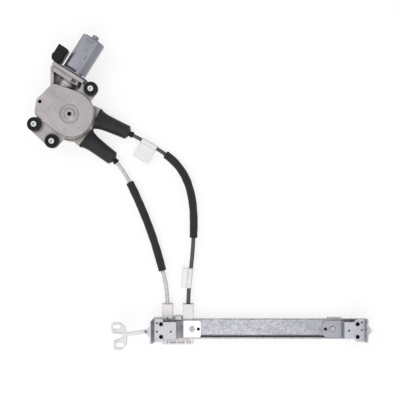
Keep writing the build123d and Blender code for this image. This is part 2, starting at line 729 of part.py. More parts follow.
with BuildPart() as motor_can:
    with BuildSketch(motor_plane(can_start)):
        Polygon(*can_outline(0), align=None)
    extrude(amount=can_length)
    far_face = motor_can.faces().sort_by(Axis((0, 0, 0), (axis_x, axis_y, 0)))[-1]
    fillet(far_face.outer_wire().edges(), radius=3.0)
    with BuildSketch(motor_plane(can_end - 0.01)):
        Circle(nub_radius)
    extrude(amount=nub_length)
    nub_face = motor_can.faces().sort_by(Axis((0, 0, 0), (axis_x, axis_y, 0)))[-1]
    chamfer(nub_face.outer_wire().edges(), length=1.0)
    with BuildSketch(motor_plane(can_plate_start)):
        with Locations(((plate_left + flange_right + 0.5) / 2, 0)):
            RectangleRounded(plate_left - flange_right - 0.5, 2 * plate_half_height, 3)
    extrude(amount=can_plate_thickness)
    with BuildSketch(motor_plane(can_plate_start)):
        Polygon(*can_outline(can_wall), align=None)
    extrude(amount=can_length, mode=Mode.SUBTRACT)
    with BuildSketch(motor_plane(can_end - can_wall - 2)):
        Circle(nub_radius - nub_wall)
    extrude(amount=nub_length + can_wall + 1.0, mode=Mode.SUBTRACT)
    # press marks in the front face, a dimple and a curved dent
    for along, aside in can_stakes:
        with BuildSketch(motor_plane(along - stake_size[0] / 2)):
            with Locations((aside, can_half_height)):
                Rectangle(stake_size[1], 2 * stake_depth)
        extrude(amount=stake_size[0], mode=Mode.SUBTRACT)
    with BuildSketch(can_front(can_dent)):
        SlotArc(Edge.make_circle(dent_radius, Plane(origin=(dent_radius, 0, 0)),
                                 180 - dent_half_angle, 180 + dent_half_angle), dent_width)
    extrude(amount=-dent_depth, mode=Mode.SUBTRACT)
    with BuildSketch(can_front(can_dimple).offset(-0.1)):
        Circle(dimple_radius)
    extrude(amount=dimple_height, taper=35)
    # notch for the brush card's tongue
    with BuildSketch(motor_plane(can_start)):
        with Locations(((notch_left + notch_right) / 2, can_half_height)):
            Rectangle(notch_left - notch_right, 12)
    extrude(amount=notch_depth, mode=Mode.SUBTRACT)
    with BuildSketch(motor_plane(can_plate_start)):
        with Locations((screw_offset[0], -screw_offset[1]), (-screw_offset[0], screw_offset[1])):
            Circle(2.0)
    extrude(amount=can_plate_thickness, mode=Mode.SUBTRACT)
save(motor_can, "motor_can")

with BuildPart() as motor_gasket:
    with BuildSketch(motor_plane(flange_end)):
        with Locations((flange_mid, 0)):
            RectangleRounded(flange_left - flange_right - 0.6, 2 * flange_half_height - 0.6, 4)
        Circle(worm_bore - 1.5, mode=Mode.SUBTRACT)
        with Locations((screw_offset[0], -screw_offset[1]), (-screw_offset[0], screw_offset[1])):
            Circle(2.0, mode=Mode.SUBTRACT)
    extrude(amount=gasket_thickness)
save(motor_gasket, "motor_gasket")

with BuildPart() as motor_screws:
    for x, y in ((screw_offset[0], -screw_offset[1]), (-screw_offset[0], screw_offset[1])):
        with BuildSketch(motor_plane(flange_start)):
            with Locations((x, y)):
                Circle(1.9)
        extrude(amount=can_start - flange_start)
        with BuildSketch(motor_plane(can_start)):
            with Locations((x, y)):
                Circle(3.2)
        extrude(amount=2.2)
save(motor_screws, "motor_screws")

card_thickness = 2.6
brush_bore = 8.6
brush_reach = 7.1
with BuildPart() as brush_card:
    with BuildSketch(motor_plane(can_start)):
        Polygon(*can_outline(can_wall + 0.05), align=None)
        Circle(brush_bore, mode=Mode.SUBTRACT)
    extrude(amount=card_thickness)
    # tongue that fills the can's notch
    with BuildSketch(motor_plane(can_start)):
        Polygon(*can_outline(0), align=None)
        with Locations(((notch_left + notch_right) / 2, can_half_height)):
            Rectangle(notch_left - notch_right - 0.2, 11.8, mode=Mode.INTERSECT)
        Polygon(*can_outline(can_wall + 1.5), align=None, mode=Mode.SUBTRACT)
    extrude(amount=notch_depth - 0.1)
    # brush boxes
    for side in (-1, 1):
        with BuildSketch(motor_plane(can_start + card_thickness)):
            with Locations((side * 12.2, 0)):
                Rectangle(6.6, 8.0)
        extrude(amount=6.0)
        with BuildSketch(motor_plane(can_start + card_thickness + 1.0)):
            with Locations((side * 12.2, 0)):
                Rectangle(7.0, 6.0)
        extrude(amount=4.0, mode=Mode.SUBTRACT)
save(brush_card, "brush_card")

with BuildPart() as brushes:
    for side in (-1, 1):
        with BuildSketch(motor_plane(can_start + card_thickness + 1.02)):
            with Locations((side * (brush_reach + 4.0), 0)):
                Rectangle(8.0, 5.94)
        extrude(amount=3.96)
save(brushes, "brushes")

magnet_start = can_start + 16.0
magnet_length = can_length - 24.8
with BuildPart() as magnets:
    for side in (-1, 1):
        with BuildSketch(motor_plane(magnet_start)):
            Polygon(*can_outline(can_wall + 0.02), align=None)
            Circle(stack_radius + 0.7, mode=Mode.SUBTRACT)
            with Locations((side * can_half_width, 0)):
                Rectangle(2 * can_half_width - 7, 3 * can_half_height, mode=Mode.INTERSECT)
        extrude(amount=magnet_length)
save(magnets, "magnets")

with BuildPart() as rear_bearing:
    with BuildSketch(motor_plane(can_end)):
        Circle(nub_radius - nub_wall - seat_gap)
        Circle(shaft_radius + running_fit, mode=Mode.SUBTRACT)
    extrude(amount=4.0)
save(rear_bearing, "rear_bearing")

with BuildPart() as front_bearing:
    with BuildSketch(motor_plane(front_bearing_start)):
        Circle(worm_bore - 1.5 - seat_gap)
        Circle(shaft_radius + running_fit, mode=Mode.SUBTRACT)
    extrude(amount=7.0)
save(front_bearing, "front_bearing")

with BuildPart() as thrust_pad:
    with BuildSketch(motor_plane(thrust_end)):
        Circle(5.0)
    extrude(amount=2.0)
save(thrust_pad, "thrust_pad")

# ---------------------------------------------------------------- armature
worm_pitch = pi * gear_module
worm_length = worm_turns * worm_pitch
worm_root = worm_pitch_radius - gear_module - mesh_relief
thread_height = 2 * gear_module - 2 * mesh_relief
thread_base = 0.56 * worm_pitch
thread_crest = 0.22 * worm_pitch
commutator_start = can_start + 4.0
commutator_length = 8.0
stack_start = magnet_start + 6.0
stack_length = magnet_length - 12.0
with BuildPart() as worm:
    with BuildSketch(Plane.XY.offset(-worm_length / 2 - 3)):
        Circle(worm_root)
    extrude(amount=worm_length + 6)
    with BuildLine():
        helix = Helix(pitch=worm_pitch, height=worm_length, radius=worm_root - 0.2,
                      center=(0, 0, -worm_length / 2))
    with BuildSketch(Plane(origin=helix @ 0, x_dir=(1, 0, 0), z_dir=helix % 0)):
        Polygon((0, -thread_base / 2), (thread_height + 0.2, -thread_crest / 2),
                (thread_height + 0.2, thread_crest / 2), (0, thread_base / 2), align=None)
    sweep(path=helix, is_frenet=True)

with BuildPart() as motor_shaft:
    with BuildSketch(motor_plane(thrust_end + 2.1)):
        Circle(shaft_radius)
    extrude(amount=can_end + 4.5 - thrust_end - 2.1)
    # the worm is cut on the same bar
    with Locations(motor_plane(0).location):
        add(worm.part)
save(motor_shaft, "motor_shaft")

with BuildPart() as lamination_stack:
    with BuildSketch(motor_plane(stack_start)):
        Circle(stack_radius)
        Circle(shaft_radius + seat_gap, mode=Mode.SUBTRACT)
        with PolarLocations(stack_radius - 1.2, stack_slots):
            Rectangle(4.4, 1.6, mode=Mode.SUBTRACT)
        with PolarLocations(stack_radius - 3.8, stack_slots):
            Circle(1.5, mode=Mode.SUBTRACT)
    extrude(amount=stack_length)
save(lamination_stack, "lamination_stack")

with BuildPart() as armature_windings:
    for start in (stack_start - 5.0, stack_start + stack_length):
        with BuildSketch(motor_plane(start)):
            Circle(stack_radius - 1.0)
            Circle(shaft_radius + 0.6, mode=Mode.SUBTRACT)
        extrude(amount=5.0)
save(armature_windings, "armature_windings")

with BuildPart() as commutator:
    with BuildSketch(motor_plane(commutator_start)):
        Circle(brush_reach - 0.06)
        Circle(shaft_radius + seat_gap, mode=Mode.SUBTRACT)
        with PolarLocations(brush_reach - 0.3, stack_slots):
            Rectangle(0.9, 0.6, mode=Mode.SUBTRACT)
    extrude(amount=commutator_length)
save(commutator, "commutator")

# ---------------------------------------------------------------- connector
connector_mid = (connector_left + connector_right) / 2
connector_width = connector_left - connector_right
with BuildPart() as connector_housing:
    with BuildSketch(motor_plane(can_plate_start)):
        with Locations((connector_mid, 0)):
            RectangleRounded(connector_width, 2 * connector_half_height, 2.5)
    extrude(amount=connector_top - can_plate_start)
    # round the top corner next to the motor, and cut the foot's outer corner off
    corner_plane = can_front((0, 0)).offset(-can_half_height)
    with BuildSketch(corner_plane):
        with Locations((connector_top, connector_right)):
            Rectangle(2 * connector_corner, 2 * connector_corner)
        with Locations((connector_top - connector_corner, connector_right + connector_corner)):
            Circle(connector_corner, mode=Mode.SUBTRACT)
    extrude(amount=connector_half_height + 1, both=True, mode=Mode.SUBTRACT)
    with BuildSketch(corner_plane):
        with Locations((can_plate_start, connector_left)):
            Rectangle(sqrt(2) * connector_foot_cut, sqrt(2) * connector_foot_cut, rotation=45)
    extrude(amount=connector_half_height + 1, both=True, mode=Mode.SUBTRACT)
    # grip ribs, latch nub and cavity
    for rib in range(3):
        with BuildSketch(motor_plane(can_plate_start + 9 + 5 * rib)):
            with Locations((connector_mid, 0)):
                RectangleRounded(connector_width - 1, 2 * connector_half_height + 1.2, 2.5)
        extrude(amount=1.6)
    with BuildSketch(motor_plane(can_plate_start + 6.5)):
        with Locations((connector_left, 0)):
            Rectangle(4.0, 6.0)
    extrude(amount=4.5)
    cavity_right = connector_right + connector_corner + 1.6
    cavity_left = connector_left - connector_wall
    with BuildSketch(motor_plane(connector_top)):
        with Locations(((cavity_left + cavity_right) / 2, 0)):
            RectangleRounded(cavity_left - cavity_right,
                             2 * (connector_half_height - connector_wall), 1.5)
    extrude(amount=-connector_depth, mode=Mode.SUBTRACT)
    with BuildSketch(motor_plane(can_plate_start + 4)):
        with Locations(*[(connector_mid + 1.4, side * terminal_pitch / 2) for side in (-1, 1)]):
            Rectangle(terminal_width + 2 * seat_gap, terminal_thickness + 2 * seat_gap)
    extrude(amount=connector_top - can_plate_start - 4, mode=Mode.SUBTRACT)
save(connector_housing, "connector_housing")

with BuildPart() as connector_terminals:
    with BuildSketch(motor_plane(can_plate_start + 4.05)):
        with Locations(*[(connector_mid + 1.4, side * terminal_pitch / 2) for side in (-1, 1)]):
            Rectangle(terminal_width, terminal_thickness)
    extrude(amount=connector_top - can_plate_start - 8)
save(connector_terminals, "connector_terminals")

# ---------------------------------------------------------------- boots, springs and ferrules
boot_shoulder = boot_stations[-1][0]


def first_run(name):
    """Direction of a conduit where it leaves its ferrule."""
    (start_x, start_y), (next_x, next_y) = routes[name][:2]
    return Vector(next_x - start_x, next_y - start_y).normalized()


for name in outlets:
    with BuildPart() as hollow:
        for along, half, tall in boot_stations:
            reach = along * (boot_shoulder - boot_end_wall) / boot_shoulder
            with BuildSketch(outlet_plane(name, gap + (reach if along else -1))):
                Ellipse(half - boot_wall, tall - boot_wall)
        loft(ruled=True)
    with BuildPart() as boot:
        for along, half, tall in boot_stations:
            with BuildSketch(outlet_plane(name, gap + along)):
                Ellipse(half, tall)
        loft(ruled=True)
        with BuildSketch(outlet_plane(name, boot_shoulder + gap)):
            Ellipse(*boot_stations[-1][1:])
        with BuildSketch(outlet_plane(name, boot_length)):
            Circle(boot_nose_radius)
        loft(ruled=True)
        add(hollow.part, mode=Mode.SUBTRACT)
        (start_x, start_y), nose = routes[name][0], first_run(name)
        nose_x, nose_y = nose.X, nose.Y
        nose_plane = Plane(origin=(start_x, start_y, cable_z), x_dir=(-nose_y, nose_x, 0),
                           z_dir=(nose_x, nose_y, 0))
        with BuildSketch(nose_plane.offset(nose_bore[0])):
            Circle(ferrule_radius + 0.05)
        extrude(amount=nose_bore[1], mode=Mode.SUBTRACT)
    save(boot, f"boot_{name}")

    # ferrule: a plastic end that holds the conduit in the boot's nose
    with BuildPart() as ferrule:
        with BuildSketch(nose_plane.offset(-ferrule_back)):
            Circle(ferrule_radius)
        extrude(amount=ferrule_length)
        collar_radius, collar_start, collar_length = ferrule_collar
        with BuildSketch(nose_plane.offset(collar_start)):
            Circle(collar_radius)
        extrude(amount=collar_length)
        with BuildSketch(nose_plane.offset(-ferrule_back)):
            Circle(cable_radius + 0.6)
        extrude(amount=ferrule_length, mode=Mode.SUBTRACT)
        with BuildSketch(nose_plane):
            Circle(conduit_radius + 0.05)
        extrude(amount=ferrule_length, mode=Mode.SUBTRACT)
    save(ferrule, f"ferrule_{name}")

    # tension spring from the neck's mouth to the ferrule, wound in its own frame
    coil_length = spring_end - neck_length - seat_gap - 2 * spring_wire
    with BuildPart() as coil:
        with BuildLine():
            helix = Helix(pitch=coil_length / spring_turns, height=coil_length,
                          radius=spring_radius)
        with BuildSketch(Plane(origin=helix @ 0, x_dir=(1, 0, 0), z_dir=helix % 0)):
            RegularPolygon(spring_wire, 4)
        sweep(path=helix, is_frenet=True)
    with BuildPart() as spring:
        with Locations(outlet_plane(name, neck_length + seat_gap + spring_wire).location):
            add(coil.part)
    save(spring, f"tension_spring_{name}")

# ---------------------------------------------------------------- conduits, foam and tags
def bend_radii(points):
    """Largest radius at each corner: 0.45 of the shorter run over the tangent of half the turn."""
    radii = []
    for before, here, after in zip(points, points[1:], points[2:]):
        run_in, run_out = Vector(here) - Vector(before), Vector(after) - Vector(here)
        turn = radians(run_in.get_angle(run_out))
        radii.append(0.45 * min(run_in.length, run_out.length) / tan(turn / 2))
    return radii


def level(points):
    """Lift plan points to the cable height."""
    return [(x, y, cable_z) for x, y in points]


conduit_paths = {}
for name, points in routes.items():
    radii = bend_radii(level(points))
    print(f"conduit {name} radii", [round(r) for r in radii])
    with BuildPart() as conduit:
        with BuildLine() as path:
            FilletPolyline(*level(points), radius=radii)
        conduit_paths[name] = path.wire()
        with BuildSketch(Plane(origin=path.wire() @ 0, z_dir=path.wire() % 0)):
            Circle(conduit_radius)
        sweep(path=path.wire())
    expected = pi * conduit_radius ** 2 * path.wire().length
    print(f"conduit {name} length {path.wire().length:.1f}",
          f"volume {conduit.part.volume:.0f} of {expected:.0f}")
    save(conduit, f"conduit_{name}")

    foam_path = conduit_paths[name].trim(*foam_spans[name])
    with BuildPart() as foam:
        with BuildSketch(Plane(origin=foam_path @ 0, z_dir=foam_path % 0)):
            Circle(foam_radius)
            Circle(foam_bore, mode=Mode.SUBTRACT)
        sweep(path=foam_path)
    save(foam, f"foam_sleeve_{name}")

# blank tags: a sleeve round the conduit with a flat flag beside it
for name, (place, width, length) in tags.items():
    middle, along = conduit_paths["upper"] @ place, conduit_paths["upper"] % place
    with BuildPart() as tag:
        with BuildSketch(Plane(origin=middle - along * (width / 2), x_dir=(along.Y, -along.X, 0),
                               z_dir=along)):
            Circle(conduit_radius + tag_gap + tag_thickness)
            with Locations((conduit_radius, 0)):
                Rectangle(length, tag_thickness, align=(Align.MIN, Align.CENTER))
            Circle(conduit_radius + tag_gap, mode=Mode.SUBTRACT)
        extrude(amount=width)
    save(tag, f"tag_{name}")

# inner cables between the drum and the ferrules
for name, side in drum_sides.items():
    tangent, neck = cable_leaves(name, side)
    end = Vector(*routes[name][0], cable_z) - first_run(name) * cable_end_back
    start = tangent + (neck - tangent).normalized() * cable_lead
    with BuildPart() as stub:
        with BuildLine() as path:
            FilletPolyline(start, neck, end, radius=cable_bend)
        with BuildSketch(Plane(origin=start, z_dir=path.wire() % 0)):
            Circle(cable_radius)
        sweep(path=path.wire())
    save(stub, f"outlet_cable_{name}")

# ---------------------------------------------------------------- rail
web_base_z = rail_top_z - rail_sheet
with BuildPart() as rail:
    with BuildSketch(rail_plane(rail_left)):
        with BuildLine():
            Polyline((rail_half_width, rail_top_z), (groove_inner, rail_top_z),
                     (groove_inner, rail_top_z - groove_depth + rail_sheet),
                     (groove_outer, rail_top_z - groove_depth + rail_sheet),
                     (groove_outer, rail_top_z - hem_drop),
                     (-rail_half_width, rail_top_z - hem_drop),
                     (-rail_half_width, rail_top_z - groove_depth),
                     (groove_inner + rail_sheet, rail_top_z - groove_depth),
                     (groove_inner + rail_sheet, web_base_z),
                     (rail_half_width - rail_sheet, web_base_z),
                     (rail_half_width - rail_sheet, rail_top_z - rail_wall_height),
                     (rail_half_width, rail_top_z - rail_wall_height), close=True)
        make_face()
    extrude(amount=rail_right - rail_left)
    fold_edges = rail.edges().filter_by(Axis.X).filter_by_position(
        Axis.Z, rail_top_z - hem_drop - 0.01, rail_top_z + 0.01).sort_by(Axis.Y)
    fillet(fold_edges[:-1], radius=0.6)
    fillet(fold_edges[-1], radius=fold_radius)
    with BuildSketch(Plane.XY.offset(rail_top_z)):
        with Locations(*[(x["rivet"], rail_y) for x in (left_bracket_x, right_bracket_x)]):
            Circle(rivet_radius + seat_gap)
        with Locations(*[(x["hole"], rail_y) for x in (left_bracket_x, right_bracket_x)]):
            Circle(inner_hole_radius)
    extrude(amount=-2 * rail_sheet, mode=Mode.SUBTRACT)
save(rail, "rail")

# ---------------------------------------------------------------- brackets
def bracket(x, y, outward, corner):
    """Pressed bracket: inner plate on the rail, slope, neck, head and upturned flange with an ear."""
    low_z, high_z = rail_top_z, head_top_z - bracket_sheet
    with BuildPart() as made:
        # side view of the strip, cut to its plan outline afterwards
        with BuildSketch(Plane(origin=(0, rail_y, 0), x_dir=(1, 0, 0), z_dir=(0, -1, 0))) as side:
            with BuildLine():
                Polyline((x["end"], low_z), (x["inner"], low_z), (x["slope"], high_z),
                         (x["head"], high_z), (x["flange"], flange_top_z - bracket_sheet),
                         (x["ear"], flange_top_z - bracket_sheet), (x["ear"], flange_top_z),
                         (x["flange"] - outward * bracket_sheet, flange_top_z),
                         (x["head"] - outward * bracket_sheet, head_top_z),
                         (x["slope"] - outward * 0.6, head_top_z),
                         (x["inner"] - outward * 0.6, low_z + bracket_sheet),
                         (x["end"], low_z + bracket_sheet), close=True)
            make_face()
            fillet(side.vertices(), bend_fillet)
        extrude(amount=flange_half, both=True)
        with BuildSketch(Plane.XY.offset(low_z - 1)):
            # inner plate and neck, head, flange and ear in plan
            with Locations(((x["end"] + x["neck"]) / 2, rail_y)):
                RectangleRounded(abs(x["end"] - x["neck"]), 2 * plate_half, corner)
            with Locations((x["neck"], rail_y)):
                Rectangle(10, 2 * plate_half)
            cut_x, cut_y = x["neck"] + outward * y["cut"][0], head_half - y["cut"][1]
            Polygon((x["neck"], rail_y - cut_y), (cut_x, rail_y - head_half),
                    (x["head"], rail_y - head_half), (x["head"], rail_y + head_half),
                    (cut_x, rail_y + head_half), (x["neck"], rail_y + cut_y), align=None)
            flange_inner = x["head"] - outward * bracket_sheet
            Polygon((flange_inner, rail_y + y["low"]), (x["flange"], rail_y + y["low"]),
                    (x["flange"], rail_y + y["corner"]), (flange_inner, rail_y + y["high"]),
                    align=None)
            with BuildLine():
                tip, ear_y = x["ear"] - outward * 3.0, rail_y + y["ear"]
                Polyline((x["flange"] - outward, ear_y - ear_half), (tip, ear_y - 2.6),
                         (x["ear"], ear_y), (tip, ear_y + 2.6),
                         (x["flange"] - outward, ear_y + ear_half), close=True)
            make_face()
        extrude(amount=flange_top_z - low_z + 2, mode=Mode.INTERSECT)
        bolt_x = x["head"] - outward * bolt_from_head
        small_x = x["head"] - outward * 6.4
        rim_radius, rim_height = bolt_rim
        with BuildSketch(Plane.XY.offset(head_top_z - 0.2)):
            with Locations((bolt_x, rail_y - bolt_half_spacing), (bolt_x, rail_y + bolt_half_spacing)):
                Circle(rim_radius)
        extrude(amount=rim_height + 0.2, taper=15)
        with BuildSketch(Plane.XY.offset(flange_top_z + 1)):
            with Locations((bolt_x, rail_y - bolt_half_spacing), (bolt_x, rail_y + bolt_half_spacing)):
                Circle(bolt_hole_radius)
            with Locations(*[(small_x, rail_y + hole) for hole in y["head_holes"]],
                           (x["neck_hole"], rail_y + y["neck_hole"])):
                Circle(small_hole_radius)
            with Locations((x["ear_hole"], rail_y + y["ear"])):
                Circle(ear_hole_radius)
            with Locations((x["rivet"], rail_y)):
                Circle(rivet_radius + seat_gap)
            with Locations((x["hole"], rail_y)):
                Circle(inner_hole_radius)
        extrude(amount=low_z - flange_top_z - 2, mode=Mode.SUBTRACT)
        # shallow pip beside the lower bolt hole
        with BuildSketch(Plane.XY.offset(head_top_z)):
            with Locations((small_x, rail_y + y["pip"])):
                Circle(small_hole_radius)
        extrude(amount=-0.6, mode=Mode.SUBTRACT)
    return made


left_bracket = bracket(left_bracket_x, left_bracket_y, -1, plate_corner["left"])
save(left_bracket, "left_bracket")
right_bracket = bracket(right_bracket_x, right_bracket_y, 1, plate_corner["right"])
save(right_bracket, "right_bracket")

with BuildPart() as rail_rivets:
    for x in (left_bracket_x["rivet"], right_bracket_x["rivet"]):
        with BuildSketch(Plane(origin=(x, rail_y, web_base_z - 1.2))):
            Circle(rivet_radius + 0.4)
        extrude(amount=1.2)
        with BuildSketch(Plane(origin=(x, rail_y, web_base_z))):
            Circle(rivet_radius)
        extrude(amount=rail_sheet + bracket_sheet)
        with BuildSketch(Plane(origin=(x, rail_y, rail_top_z + bracket_sheet))):
            Circle(rivet_head_radius)
            Circle(rivet_radius * 0.45, mode=Mode.SUBTRACT)
        extrude(amount=1.2)
save(rail_rivets, "rail_rivets")

# ---------------------------------------------------------------- end anchors, rail cable, nipples
channel_low = groove_inner + rail_sheet
channel_high = rail_half_width - rail_sheet
for name, (start, end) in (("left", left_anchor), ("right", right_anchor)):
    with BuildPart() as anchor:
        with BuildSketch(rail_plane(start)):
            # body in the channel, foot below it and a nib outside each edge of the rail
            with BuildLine():
                Polyline((-anchor_half_width, 0), (anchor_half_width, 0),
                         (anchor_half_width, rail_top_z - rail_wall_height),
                         (channel_high, rail_top_z - rail_wall_height),
                         (channel_high, web_base_z), (channel_low, web_base_z),
                         (channel_low, rail_top_z - groove_depth),
                         (-anchor_half_width, rail_top_z - groove_depth), close=True)
            make_face()
            with Locations((0, web_base_z)):
                Rectangle(2 * block_tunnel_half, 2 * (web_base_z - cable_z) - 2,
                          mode=Mode.SUBTRACT)
            with Locations((0, cable_z)):
                Circle(cable_radius + 0.15, mode=Mode.SUBTRACT)
        extrude(amount=end - start)
        # pocket of the cable's nipple, open above, and cores below
        outer_x = start if name == "left" else end
        inward = 1 if name == "left" else -1
        with BuildSketch(Plane.XY.offset(cable_z - nipple_radius - seat_gap)):
            with Locations((outer_x + inward * 5.0, rail_y)):
                Rectangle(6.0 + 2 * seat_gap, 2 * (nipple_radius + seat_gap))
        extrude(amount=10, mode=Mode.SUBTRACT)
        with BuildSketch(Plane.XY):
            with Locations(((start + end) / 2, rail_y - 10.5), ((start + end) / 2, rail_y + 10.5)):
                Rectangle(end - start - 4, 9.0)
        extrude(amount=8.0, mode=Mode.SUBTRACT)
    save(anchor, f"{name}_end_anchor")

with BuildPart() as rail_cable:
    with BuildSketch(rail_plane(left_anchor[0] + 8.0)):
        with Locations((0, cable_z)):
            Circle(cable_radius)
    extrude(amount=right_anchor[1] - left_anchor[0] - 16.0)
save(rail_cable, "rail_cable")

with BuildPart() as cable_nipples:
    for x in (left_anchor[0] + 5.0, right_anchor[1] - 5.0):
        with BuildSketch(rail_plane(x - 3.0)):
            with Locations((0, cable_z)):
                Circle(nipple_radius)
        extrude(amount=6.0)
save(cable_nipples, "cable_nipples")

# ---------------------------------------------------------------- guide block
foot_top = web_base_z - gap
shelf_high = rail_top_z - rail_wall_height - gap
shelf_low = rail_top_z - groove_depth - gap
hem_clear = rail_half_width + gap
lip_base_z = rail_top_z + gap
with BuildPart() as guide_block:
    with BuildSketch(rail_plane(block_x - block_half)):
        with BuildLine():
            Polyline((-hem_clear, 0), (hem_clear + 2.6, 0), (hem_clear + 2.6, shelf_high),
                     (channel_high - gap, shelf_high), (channel_high - gap, foot_top),
                     (channel_low + gap, foot_top), (channel_low + gap, shelf_low),
                     (-hem_clear, shelf_low), close=True)
        make_face()
    extrude(amount=2 * block_half)
    # ribbed strip along the lower edge
    with BuildSketch(block_plane(0)):
        with Locations((0, -(hem_clear + block_strip) / 2)):
            RectangleRounded(2 * block_half, block_strip - hem_clear + 0.02, 1.5)
        with Locations((0, -hem_clear - 1)):
            Rectangle(2 * block_half, 2.2)
    extrude(amount=11.0)
    with BuildSketch(block_plane(11.0)):
        for recess_x, recess_width in strip_recesses:
            with Locations((recess_x, -(hem_clear + block_strip) / 2 - 0.6)):
                Rectangle(recess_width, 4.6)
    extrude(amount=-strip_recess_depth, mode=Mode.SUBTRACT)
    # clasps over both edges of the rail
    with BuildSketch(rail_plane(block_x - clasp_length / 2 + 1)):
        with BuildLine():
            Polyline((hem_clear, 0), (hem_clear + 3.6, 0), (hem_clear + 3.6, lip_base_z + 2.0),
                     (channel_high, lip_base_z + 2.0), (channel_high, lip_base_z),
                     (hem_clear, lip_base_z), close=True)
        make_face()
    extrude(amount=clasp_length)
    with BuildSketch(rail_plane(block_x - block_half)):
        with BuildLine():
            Polyline((-hem_clear, 5), (-hem_clear - 2.4, 5), (-hem_clear - 2.4, lip_base_z + 0.8),
                     (-hem_clear + 2.2, lip_base_z + 0.8), (-hem_clear + 2.2, lip_base_z - 0.8),
                     (-hem_clear, lip_base_z - 0.8), close=True)
        make_face()
    extrude(amount=2 * block_half)
    with BuildSketch(block_plane(11.0)):
        with Locations((-6.5, -hem_clear), (13, -hem_clear)):
            Rectangle(13, 8)
    extrude(amount=12, mode=Mode.SUBTRACT)
    # sockets for the two conduits
    with BuildSketch(block_plane(0)):
        with Locations((-socket_offset, (hem_clear + socket_reach) / 2),
                       (socket_offset, (hem_clear + socket_reach) / 2)):
            Rectangle(2 * socket_half_width, socket_reach - hem_clear)
    extrude(amount=socket_top_z)
    socket_rims = guide_block.edges().filter_by(Axis.Y).filter_by_position(
        Axis.Z, socket_top_z - 0.01, socket_top_z + 0.01)
    fillet(socket_rims, radius=1.8)
    for side in (-1, 1):
        socket_axis = Plane(origin=(block_x + side * socket_offset, rail_y + socket_reach, cable_z),
                            x_dir=(1, 0, 0), z_dir=(0, 1, 0))
        with BuildSketch(socket_axis):
            Circle(conduit_radius + 0.05)
        extrude(amount=-socket_bore_depth, mode=Mode.SUBTRACT)
        with BuildSketch(socket_axis):
            Circle(cable_radius + 0.6)
        extrude(amount=-(socket_reach - block_tunnel_half + 0.5), mode=Mode.SUBTRACT)
        with BuildSketch(Plane(origin=(block_x + side * (socket_offset + 0.2), rail_y + hem_clear + 1.5,
                                       socket_top_z))):
            Circle(1.1)
        if side < 0:
            extrude(amount=-3.0, mode=Mode.SUBTRACT)
    # tunnel for the cable and the rivet's tail, and cores below
    with BuildSketch(rail_plane(block_x - block_half)):
        with Locations((0, foot_top)):
            Rectangle(2 * block_tunnel_half, 2 * (foot_top - cable_z + cable_radius + 1.0))
    extrude(amount=2 * block_half, mode=Mode.SUBTRACT)
    with BuildSketch(block_plane(0)):
        with GridLocations(17, 12.5, 3, 2):
            Rectangle(14, 9)
    extrude(amount=8.0, mode=Mode.SUBTRACT)
save(guide_block, "guide_block")

with BuildPart() as block_cables:
    for side in (-1, 1):
        x = block_x + side * socket_offset
        with BuildSketch(Plane(origin=(x, rail_y + socket_reach - socket_bore_depth - 0.1, cable_z),
                               x_dir=(1, 0, 0), z_dir=(0, -1, 0))):
            Circle(cable_radius)
        extrude(amount=socket_reach - socket_bore_depth - cable_radius * 2 - gap)
save(block_cables, "block_cables")

# ---------------------------------------------------------------- clip
def clip_plane(z):
    """Level plane at the clip's pivot: local x points along -X and local y along -Y."""
    return Plane(origin=(*left_ear, z), x_dir=(-1, 0, 0), z_dir=(0, 0, 1))


with BuildPart() as harness_clip:
    # two rounded loops joined at a spine, with the mouth between them, and the stem
    clip_base = clip_plane(clip_top_z - clip_thickness)
    for lobes in (clip_upper_loop, clip_lower_loop, (clip_upper_loop[-1], clip_lower_loop[-2]),
                  clip_stem):
        with BuildSketch(clip_base):
            hull_of(lobes)
        extrude(amount=clip_thickness)
    rim = harness_clip.faces().sort_by(Axis.Z)[-1].outer_wire().edges()
    fillet(rim, radius=clip_edge)
    with BuildSketch(clip_base):
        for x, y, length, width in clip_windows:
            with Locations((x, y)):
                RectangleRounded(length, width, 1.6)
    extrude(amount=clip_thickness, mode=Mode.SUBTRACT)
    # ridge along the bar on each side of the mouth
    for lobe, other in ((clip_upper_loop[3], clip_upper_loop[4]),
                        (clip_lower_loop[0], clip_lower_loop[5])):
        with BuildSketch(clip_plane(clip_top_z - 0.05)):
            hull_of(((lobe[0] - 1, lobe[1], 0.7), (other[0] + 4, other[1], 0.7)))
        extrude(amount=clip_ridge)
    # post with a barbed head, through the ear's hole
    with BuildSketch(clip_plane(clip_top_z - 0.01)):
        Circle(ear_hole_radius - running_fit)
    extrude(amount=flange_top_z - clip_top_z + gap + 0.1)
    with BuildSketch(clip_plane(flange_top_z + gap)):
        Circle(ear_hole_radius + 0.5)
    extrude(amount=1.2, taper=20)
save(harness_clip, "harness_clip")
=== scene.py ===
import logging
import math
from collections.abc import Callable
from dataclasses import dataclass, field
from enum import Enum, auto

import bmesh
import bpy
from mathutils import Matrix, Vector


